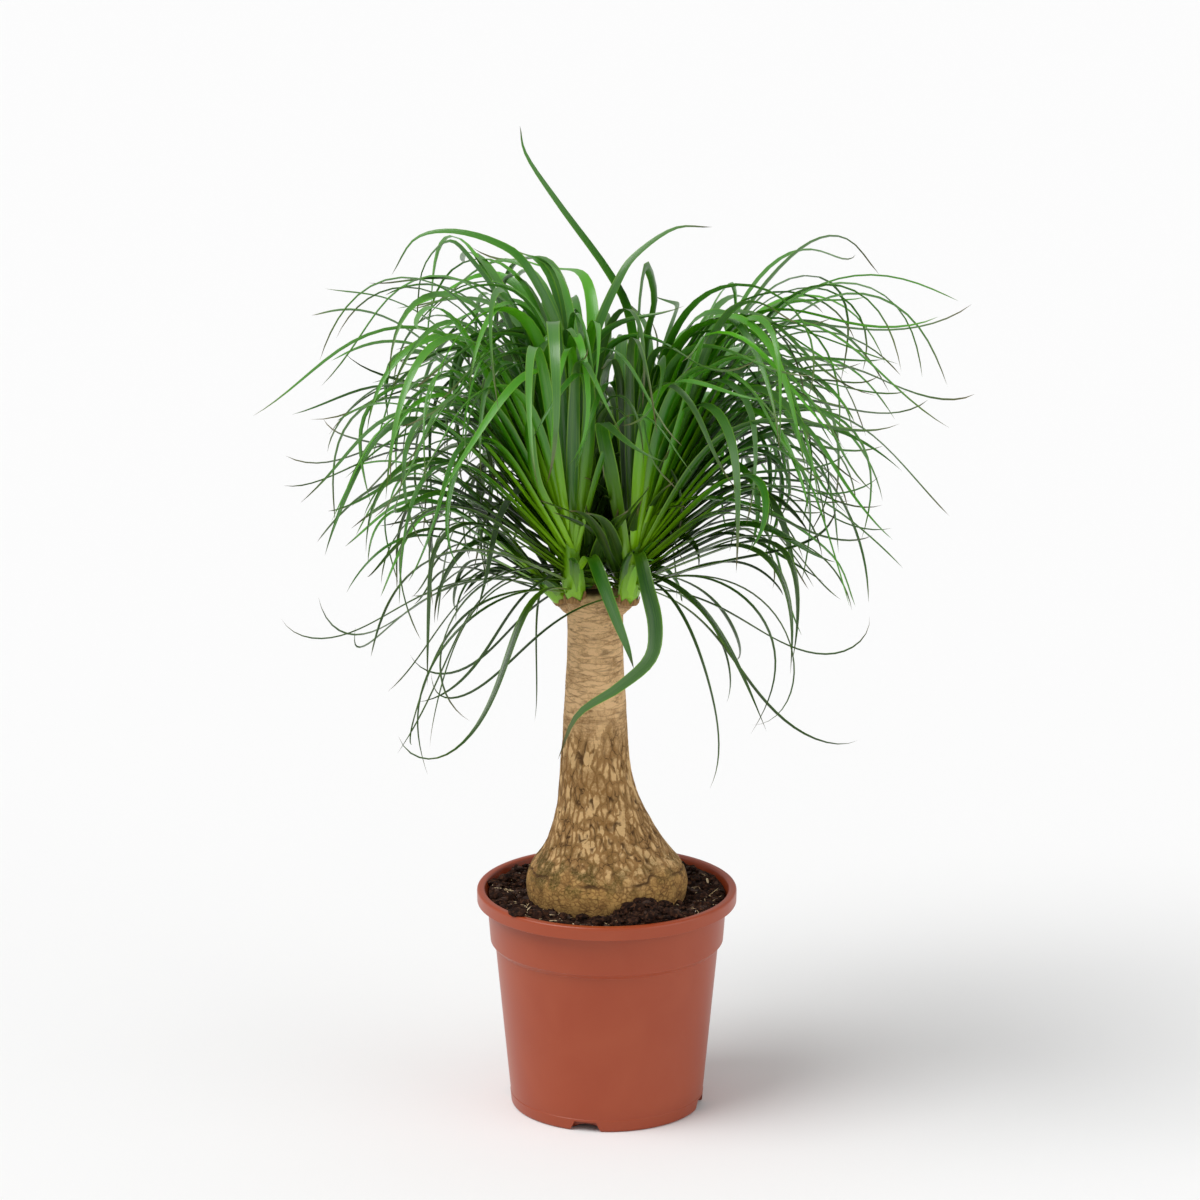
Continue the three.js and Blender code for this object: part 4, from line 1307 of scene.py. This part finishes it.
@dataclass
class Links:
    """The straight links of what has been placed so far, which later blades keep off."""

    start: np.ndarray = field(default_factory=lambda: np.empty((0, 3)))
    end: np.ndarray = field(default_factory=lambda: np.empty((0, 3)))
    half: np.ndarray = field(default_factory=lambda: np.empty(0))
    owner: np.ndarray = field(default_factory=lambda: np.empty(0, int))
    inner: np.ndarray = field(default_factory=lambda: np.empty(0, bool))

    @classmethod
    def chain(cls, points: np.ndarray, halves: np.ndarray, owner: int,
              inner: bool | None = None) -> "Links":
        """Gives the links of one blade or sheath; a blade's first link alone is an inner one."""
        count = len(points) - 1
        first = np.arange(count) < 1 if inner is None else np.full(count, inner)
        wider = np.maximum(halves[:-1], halves[1:])
        return cls(points[:-1], points[1:], wider, np.full(count, owner), first)

    def add(self, other: "Links") -> None:
        """Takes another chain's links in."""
        self.start = np.vstack((self.start, other.start))
        self.end = np.vstack((self.end, other.end))
        self.half = np.concatenate((self.half, other.half))
        self.owner = np.concatenate((self.owner, other.owner))
        self.inner = np.concatenate((self.inner, other.inner))

    def gaps(self, start: np.ndarray, end: np.ndarray) -> np.ndarray:
        """Gives the shortest distance from one straight link to each of these."""
        along, other, offset = end - start, self.end - self.start, start - self.start
        aa, bb = along @ along, (other * other).sum(1)
        ab, ao, bo = other @ along, offset @ along, (other * offset).sum(1)
        scale = aa * bb - ab * ab
        s = np.where(scale > 1e-9, np.clip((ab * bo - ao * bb) / np.maximum(scale, 1e-9), 0, 1), 0)
        t = (ab * s + bo) / bb
        outside = (t < 0) | (t > 1)
        t = np.clip(t, 0, 1)
        s = np.where(outside, np.clip((ab * t - ao) / aa, 0, 1), s)
        return np.linalg.norm(offset + along * s[:, None] - other * t[:, None], axis=1)

    def clear_of(self, chain: "Links", clearance: float) -> bool:
        """Tells whether a chain keeps off other heads' links, and off most of its own head's."""
        for i, (start, end, half) in enumerate(zip(chain.start, chain.end, chain.half)):
            own = self.owner == chain.owner[i]
            least = np.where(own, 0.6 * (half + self.half), half + self.half + clearance)
            skipped = own & (self.inner | (i < 1))
            if np.any(~skipped & (self.gaps(start, end) <= least)):
                return False
        return True


@dataclass
class LeafCrown:
    """The five leafy heads, grown by the rule that placed the model's solid blades."""

    stem: SwollenStem
    heads: tuple[LeafyHead, ...] = HEADS
    launch: Trait = Trait(5, 44, -8, 9)
    length: Trait = Trait(345, -140, -75, 35)
    width: Trait = Trait(9.8, -1.8, -2.5, 2.7)
    stiffness: Trait = Trait(0.74, -0.1, -0.16, 0.1)
    lag: Trait = Trait(6, -1.5, -1.5, 1.5)
    hang: tuple[float, float] = (110.0, 180.0)
    curl: tuple[float, float] = (80.0, 40.0)
    hook: tuple[float, float] = (-80.0, 60.0)
    twist: float = 70.0
    straying: float = 25.0
    leaning_out: float = 9.0
    steps: int = 30
    stations: tuple[int, ...] = (0, 7, 13, 17, 21, 25, 30)
    sheath_length: float = 52.0
    sheath_radius: float = 7.8
    sheath_skirt: float = 3.0
    sheath_sides: int = 32
    keel_least: float = 1.0
    clearance: float = 0.6
    tries: int = 16
    lowest: float = 285.0
    highest: float = 632.0
    bare_front: float = 84.0
    window_width: float = 170.0
    window_depth: float = 40.0
    window_top: float = 500.0
    fill_share: float = 1.25
    wisp_count: int = 5
    lowest_wisp: float = 262.0
    wisp_distance: float = 12.0
    clasp_count: int = 4
    shade_leaf_count: int = 26
    back_heads_from: float = 10.0

    def drawn_line(self, head: LeafyHead, azimuth: float, launch: float, rise: float, length: float,
                   stiffness: float, lag: float, hang: float, curl: float, hook: float) -> np.ndarray:
        """Gives the centre line of a blade that leaves its sheath at an angle and bends to hang.

        Args:
            head: the blade's head.
            azimuth: the side to which it leaves, in degrees from the front.
            launch: its angle to the head's axis where it leaves, in degrees.
            rise: how far up the sheath it leaves.
            length: its length.
            stiffness: the share of its length at which it has mostly bent.
            lag: how suddenly it bends.
            hang: its slope from the upright once bent, in degrees.
            curl: how far it turns sideways, in degrees.
            hook: how far its tip turns up or in, in degrees.

        Returns:
            The points of the line, one more than the steps.
        """
        out = facing(azimuth)
        start = unit(head.axis * math.cos(math.radians(launch)) + out * math.sin(math.radians(launch)))
        slope = math.acos(start[2])
        share = (np.arange(self.steps) + 0.5) / self.steps
        fallen = 1 - np.exp(-((share / stiffness) ** lag))
        tilt = slope + (math.radians(hang) - slope) * fallen + math.radians(hook) * share**4
        turn = math.atan2(start[0], -start[1]) + math.radians(curl) * share**2
        level = np.sin(tilt)
        step = np.stack((np.sin(turn) * level, -np.cos(turn) * level, np.cos(tilt)), axis=1)
        first = np.array(head.foot) + head.axis * rise + out * 2
        return np.vstack((first, first + np.cumsum(step, axis=0) * length / self.steps))

    def inward(self, head: LeafyHead) -> float:
        """Gives the side of a head on which the crown's middle is, in radians from the front."""
        return math.atan2(self.stem.lean - head.foot[0], head.foot[1])

    def draw_blade(self, head: LeafyHead, index: float, attempt: int, draw: Draw,
                   crowding: float = 0.75) -> Blade:
        """Draws one blade: young inner ones stand up, and old outer ones spread and hang.

        Args:
            head: the blade's head.
            index: the blade's number in its head, from the youngest.
            attempt: how often a place for it has been looked for.
            draw: the random numbers.
            crowding: how far the other heads keep an inward blade upright.

        Returns:
            The blade.
        """
        age = ((index + 0.5) / head.leaves) ** 1.25
        azimuth = index * GOLDEN_ANGLE_DEG
        azimuth += (attempt + 1) * draw.between(-self.straying, self.straying)
        inward = math.cos(math.radians(azimuth) - self.inward(head))
        launch = self.launch.drawn(age**1.2, draw) * (1 - crowding * max(0.0, inward))
        launch -= self.leaning_out * inward
        length = self.length.drawn(age, draw) * (0.3 + 0.7 * head.reach)
        width = self.width.drawn(age, draw) * (0.7 + 0.3 * head.reach)
        stiffness = self.stiffness.drawn(age, draw)
        lag = self.lag.drawn(age, draw)
        hang = draw.between(*self.hang)
        most_curl = self.curl[0] + self.curl[1] * age
        curl = draw.between(-most_curl, most_curl)
        hook = draw.between(*self.hook)
        twist = draw.between(-self.twist, self.twist)
        rise = self.sheath_length * head.reach * (0.86 - 0.68 * age)
        line = self.drawn_line(head, azimuth, launch, rise, length, stiffness, lag, hang, curl, hook)
        return Blade(line, width, twist, age)

    def chain(self, blade: Blade, owner: int) -> Links:
        """Gives the straight links that the model's solid blade is made of."""
        share = np.array(self.stations) / self.steps
        halves = blade.width * np.minimum(1, 0.4 + 1.5 * share) * (1 - share**2.4) / 2
        return Links.chain(blade.line[list(self.stations)], halves, owner)

    def clear_of_stem(self, chain: Links) -> bool:
        """Tells whether a blade keeps off the stem, ends high and leaves the front in view."""
        for (x, y, z), half in zip(chain.end, chain.half):
            beside = math.hypot(x - self.stem.centre(z), y)
            aside = abs(x - self.stem.lean)
            touches = z <= self.stem.top + 4 and beside <= self.stem.radius(z) + half + 4
            hides_stem = y < 0 and z < self.stem.top and aside < self.bare_front / 2
            in_window = z < self.window_top and aside < self.window_width / 2
            hides_fans = y < -self.window_depth and in_window
            too_far = z <= self.lowest or z >= self.highest
            if touches or hides_stem or hides_fans or too_far:
                return False
        return True

    def grow(self) -> list[list[Blade]]:
        """Grows every head's blades in turn, from the youngest to the oldest."""
        placed = Links()
        grown: list[list[Blade]] = [[] for head in self.heads]
        draws = [Draw(head.seed) for head in self.heads]
        for owner, head in enumerate(self.heads):
            low, top, radius = self.stem.stub(head)
            tip = top + head.axis * self.sheath_length * head.reach
            halves = np.array((radius, self.sheath_radius, self.sheath_radius))
            placed.add(Links.chain(np.array((low, top, tip)), halves, owner, inner=True))
        for owner, head in enumerate(self.heads):
            for traced in head.traced:
                blade = Blade(catmull_rom(traced.points, self.steps), traced.width, 0.0, 0.25)
                placed.add(self.chain(blade, owner))
                grown[owner].append(blade)
        for index in range(max(head.leaves for head in self.heads)):
            for owner, head in enumerate(self.heads):
                if index >= head.leaves:
                    continue
                for attempt in range(self.tries):
                    blade = self.draw_blade(head, index, attempt, draws[owner])
                    chain = self.chain(blade, owner)
                    if self.clear_of_stem(chain) and placed.clear_of(chain, self.clearance):
                        placed.add(chain)
                        grown[owner].append(blade)
                        break
        return grown

    def fill(self, owner: int, head: LeafyHead) -> list[Blade]:
        """Draws the slimmer blades that fill a head out, inside the box of its solid blades."""
        low, high = (np.array(corner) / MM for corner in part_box(head.name))
        draw = Draw(head.seed + 900)
        filled = []
        for index in range(int(head.leaves * self.fill_share)):
            for attempt in range(self.tries):
                mixed = max(0.0, index / self.fill_share + draw.between(-9, 9))
                blade = self.draw_blade(head, mixed, attempt, draw, crowding=0.2)
                blade.width *= draw.between(0.75, 1.15)
                blade.keel = 0.12
                inside = np.all(blade.line > low + 2) and np.all(blade.line < high - 2)
                if inside and self.clear_of_stem(self.chain(blade, owner)):
                    filled.append(blade)
                    break
        return filled

    def wisps(self, head: LeafyHead) -> list[Blade]:
        """Draws the thin, old, curly blades that hang free beside the stem."""
        draw = Draw(head.seed + 1300)
        drawn = []
        while len(drawn) < self.wisp_count * head.reach:
            azimuth = draw.between(0, 360)
            launch = draw.between(62, 96)
            length = draw.between(190, 270)
            bend = (draw.between(0.3, 0.6), draw.between(1.6, 3), draw.between(150, 185))
            turns = (draw.between(-130, 130), draw.between(-190, 120))
            line = self.drawn_line(head, azimuth, launch, draw.between(2, 12), length, *bend, *turns)
            blade = Blade(line, draw.between(2.2, 7.0), draw.between(-90, 90), 1.0)
            beside = np.abs(line[10:, 0] - self.stem.lean)
            is_beside = np.min(beside) > self.stem.radius(self.stem.top) + self.wisp_distance
            if is_beside and np.min(line[:, 2]) > self.lowest_wisp:
                drawn.append(blade)
        return drawn

    def shade_leaves(self, head: LeafyHead) -> list[Blade]:
        """Draws the short leaves of a back head that fill the gaps between the front necks, in the
        darkest green as painted shade.
        """
        draw = Draw(head.seed + 2100)
        toward_middle = -math.copysign(1, head.foot[0])
        drawn = []
        is_back_head = head.foot[1] > self.back_heads_from
        for _ in range(self.shade_leaf_count if is_back_head else 0):
            azimuth = toward_middle * draw.between(0, 110)
            launch = draw.between(6, 52)
            length = draw.between(80, 160)
            bend = (draw.between(0.7, 0.95), draw.between(2, 4), draw.between(40, 90))
            line = self.drawn_line(head, azimuth, launch, draw.between(0, 16), length, *bend,
                                   draw.between(-30, 30), draw.between(-30, 20))
            # Age 1.0 gives these leaves the darkest colour, painted shade in the gaps between the
            # necks.
            drawn.append(Blade(line, draw.between(8, 11.5), draw.between(-60, 60), 1.0, foot=0.85))
        return drawn

    def clasps(self, head: LeafyHead) -> list[Blade]:
        """Draws the short, broad leaf bases that clasp a head's sheath and stand off at their tips."""
        draw = Draw(head.seed + 1700)
        drawn = []
        for index in range(self.clasp_count):
            azimuth = index * GOLDEN_ANGLE_DEG + draw.between(-20, 20)
            length = draw.between(30, 60) * (0.4 + 0.6 * head.reach)
            bend = (draw.between(0.7, 0.9), draw.between(3, 5), draw.between(60, 110))
            launch, rise = draw.between(0, 6), draw.between(0.5, 5)
            line = self.drawn_line(head, azimuth, launch, rise, length, *bend, 0, 0)
            line += facing(azimuth) * (0.72 * self.sheath_radius - 2)
            width = draw.between(8.5, 11) * (0.5 + 0.5 * head.reach)
            age = draw.between(0.2, 0.7)
            drawn.append(Blade(line, width, 0.0, age, foot=0.95, keel=0.3, shown=0.6))
        return drawn

    def add_blade(self, bm: bmesh.types.BMesh, layer: bmesh.types.BMLayerItem, head: LeafyHead,
                  blade: Blade, chance: float) -> None:
        """Adds a thin channelled blade along its centre line.

        Args:
            bm: what the blade is added to.
            layer: the vertex layer of the "leaf" attribute.
            head: the blade's head.
            blade: the blade.
            chance: the number drawn for its colour.
        """
        line = blade.line
        share = np.linspace(0, 1, self.steps + 1)
        width = blade.width * np.minimum(1, blade.foot + 1.4 * share) * (1 - share**2.4)
        width[[0, -1]] = 0
        folded = blade.keel + 0.16 * (1 - share) ** 3
        keel = np.maximum(np.minimum(self.keel_least, width), width * folded)
        thick = np.minimum(0.7, 0.12 * width + 0.1)
        thick[[0, -1]] = 0
        roll = math.radians(blade.twist) * share**2
        out = line[6] - np.array(head.foot)
        out[2] = 0
        across = np.cross(UP, unit(out))
        lanes = np.array((-1, -0.5, 0, 0.5, 1, 0.5, 0, -0.5, -1))
        net = np.empty((self.steps + 1, len(lanes), 3))
        for i, point in enumerate(line):
            direction = unit(line[min(i + 1, self.steps)] - line[max(i - 1, 0)])
            across = unit(across - direction * (across @ direction))
            upward = np.cross(direction, across)
            x = lanes * width[i] / 2
            z = keel[i] * (1 / 3 - (1 - np.abs(lanes) ** 1.4))
            z[:5] += thick[i] * (1 - np.abs(lanes[:5]))
            turned_x = x * math.cos(roll[i]) - z * math.sin(roll[i])
            turned_z = x * math.sin(roll[i]) + z * math.cos(roll[i])
            net[i] = point + turned_x[:, None] * across + turned_z[:, None] * upward
        verts = lay_sheet(bm, net)
        for i, vert in enumerate(verts):
            row, lane = divmod(i, len(lanes))
            vert[layer] = (share[row] * blade.shown, lanes[lane], blade.age, chance)

    def add_sheath(self, bm: bmesh.types.BMesh, layer: bmesh.types.BMLayerItem,
                   head: LeafyHead) -> None:
        """Adds the tube of clasping leaf bases that the blades part from."""
        length = self.sheath_length * head.reach
        wide = self.sheath_radius * (0.7 + 0.3 * head.reach)
        skirt = self.sheath_skirt * head.reach
        profile = catmull_rom([
            (wide * 0.85, -skirt), (wide, length * 0.1), (wide * 0.95, length * 0.3),
            (wide * 0.78, length * 0.6), (wide * 0.45, length * 0.92), (0.1, length),
        ], 26)
        profile = np.vstack(((0, -skirt), profile, (0, length)))
        net = np.empty((len(profile), self.sheath_sides + 1, 3))
        for i, (radius, height) in enumerate(profile):
            for j, turn in enumerate(np.linspace(0, math.tau, self.sheath_sides + 1)):
                fold = 1 + 0.05 * math.sin(5 * turn + height / 7)
                out = head.outward(turn) * radius * fold
                net[i, j] = np.array(head.foot) + head.axis * height + out
            net[i, -1] = net[i, 0]
        verts = lay_sheet(bm, net)
        for i, vert in enumerate(verts):
            row, column = divmod(i, self.sheath_sides + 1)
            height = profile[row][1]
            share = 1.0 if height < 1.5 - skirt else 0.04 + 0.25 * max(0, height) / length
            vert[layer] = (share, math.sin(column), 0.35, 0.3)

    def build(self, cuticle: LeafCuticle) -> list[bpy.types.Object]:
        """Gives the five finished heads."""
        material = cuticle.make()
        made = []
        for owner, (head, blades) in enumerate(zip(self.heads, self.grow())):
            solid_count = len(blades)
            blades += self.fill(owner, head) + self.wisps(head) + self.shade_leaves(head)
            blades += self.clasps(head)
            bm = bmesh.new()
            layer = bm.verts.layers.float_color.new("leaf")
            draw = Draw(head.seed + 500)
            for blade in blades:
                self.add_blade(bm, layer, head, blade, draw.between(0, 1))
            self.add_sheath(bm, layer, head)
            close_seams(bm)
            log.info("%s: %d blades, %d of them solid", head.name, len(blades), solid_count)
            name = head.name.replace("rosette", "leaves")
            made.append(finish(name, bm, material, head.name, crease_deg=60))
        return made


@dataclass
class Studio:
    """The pale floor, the soft light and the camera at the photograph's angle."""

    lens_mm: float = 157.5
    sensor_mm: float = 36.0
    camera_place: Point = (-5.0, -3648.2, 1378.6)
    camera_tilt_deg: float = 74.72
    floor_radius: float = 14000.0
    sky_colour: str = "fbfbfb"
    sky_strength: float = 0.5
    key_strength: float = 2.05
    key_from: Point = (-0.6, -0.3, 1.0)
    key_spread_deg: float = 40.0
    fill_strength: float = 1.0
    fill_from: Point = (1.0, -0.5, 0.12)
    fill_spread_deg: float = 60.0

    def build_floor(self) -> bpy.types.Object:
        """Gives the pale round floor."""
        bm = bmesh.new()
        bmesh.ops.create_circle(bm, cap_ends=True, segments=96, radius=self.floor_radius)
        bmesh.ops.scale(bm, vec=(MM, MM, MM), verts=bm.verts)
        floor = mesh_object("studio_floor", bm)
        floor.data.materials.append(StudioPaper().make())
        return floor

    def build_lights(self) -> None:
        """Sets the sky, the key light from the upper left and the low fill light from the right."""
        world = bpy.data.worlds.new("soft studio sky")
        world.use_nodes = True
        tree = world.node_tree
        tree.nodes.clear()
        sky = add_node(tree, "Background", inputs={
            "Color": srgb(self.sky_colour), "Strength": self.sky_strength,
        })
        add_node(tree, "OutputWorld", inputs={"Surface": sky.outputs["Background"]})
        bpy.context.scene.world = world
        self.add_sun("key_light", self.key_strength, self.key_from, self.key_spread_deg)
        self.add_sun("fill_light", self.fill_strength, self.fill_from, self.fill_spread_deg)

    def add_sun(self, name: str, strength: float, comes_from: Point, spread_deg: float) -> None:
        """Adds a wide, even light that comes from one side."""
        sun = bpy.data.lights.new(name, "SUN")
        sun.energy = strength
        sun.angle = math.radians(spread_deg)
        lamp = bpy.data.objects.new(name, sun)
        lamp.rotation_euler = Vector(comes_from).to_track_quat("Z", "Y").to_euler()
        bpy.context.scene.collection.objects.link(lamp)

    def build_camera(self) -> None:
        """Sets the camera where the photograph was taken from."""
        data = bpy.data.cameras.new("studio camera")
        data.lens = self.lens_mm
        data.sensor_width = self.sensor_mm
        data.clip_end = 100
        camera = bpy.data.objects.new("studio_camera", data)
        camera.location = Vector(self.camera_place) * MM
        camera.rotation_euler = (math.radians(self.camera_tilt_deg), 0, 0)
        bpy.context.scene.collection.objects.link(camera)
        bpy.context.scene.camera = camera

    def build(self) -> None:
        """Builds the studio and sets a plain view of its colours."""
        self.build_camera()
        self.build_floor()
        self.build_lights()
        bpy.context.scene.view_settings.view_transform = "Standard"


def main() -> None:
    """Builds the studio and the plant's pieces in order."""
    logging.basicConfig(level=logging.INFO, format="%(relativeCreated)6d ms %(message)s")
    noise.seed_set(NOISE_SEED)
    Studio().build()
    pot = NurseryPot()
    stem = SwollenStem()
    pot.build(MouldedPolypropylene())
    PottingMix(pot, stem).build()
    stem.build(HEADS, CorkyBark())
    stem.build_scales(HEADS, DriedScale())
    # The last colour given here is a painted sheen.
    cuticle = LeafCuticle("waxed leaf cuticle", foot="9bd80c", young="4aa203", grown="1f6802",
                          old="092f02", edge="7cb020", tip="6b5f3c", painted_sheen="93b87e")
    LeafCrown(stem).build(cuticle)


if __name__ == "__main__":
    main()
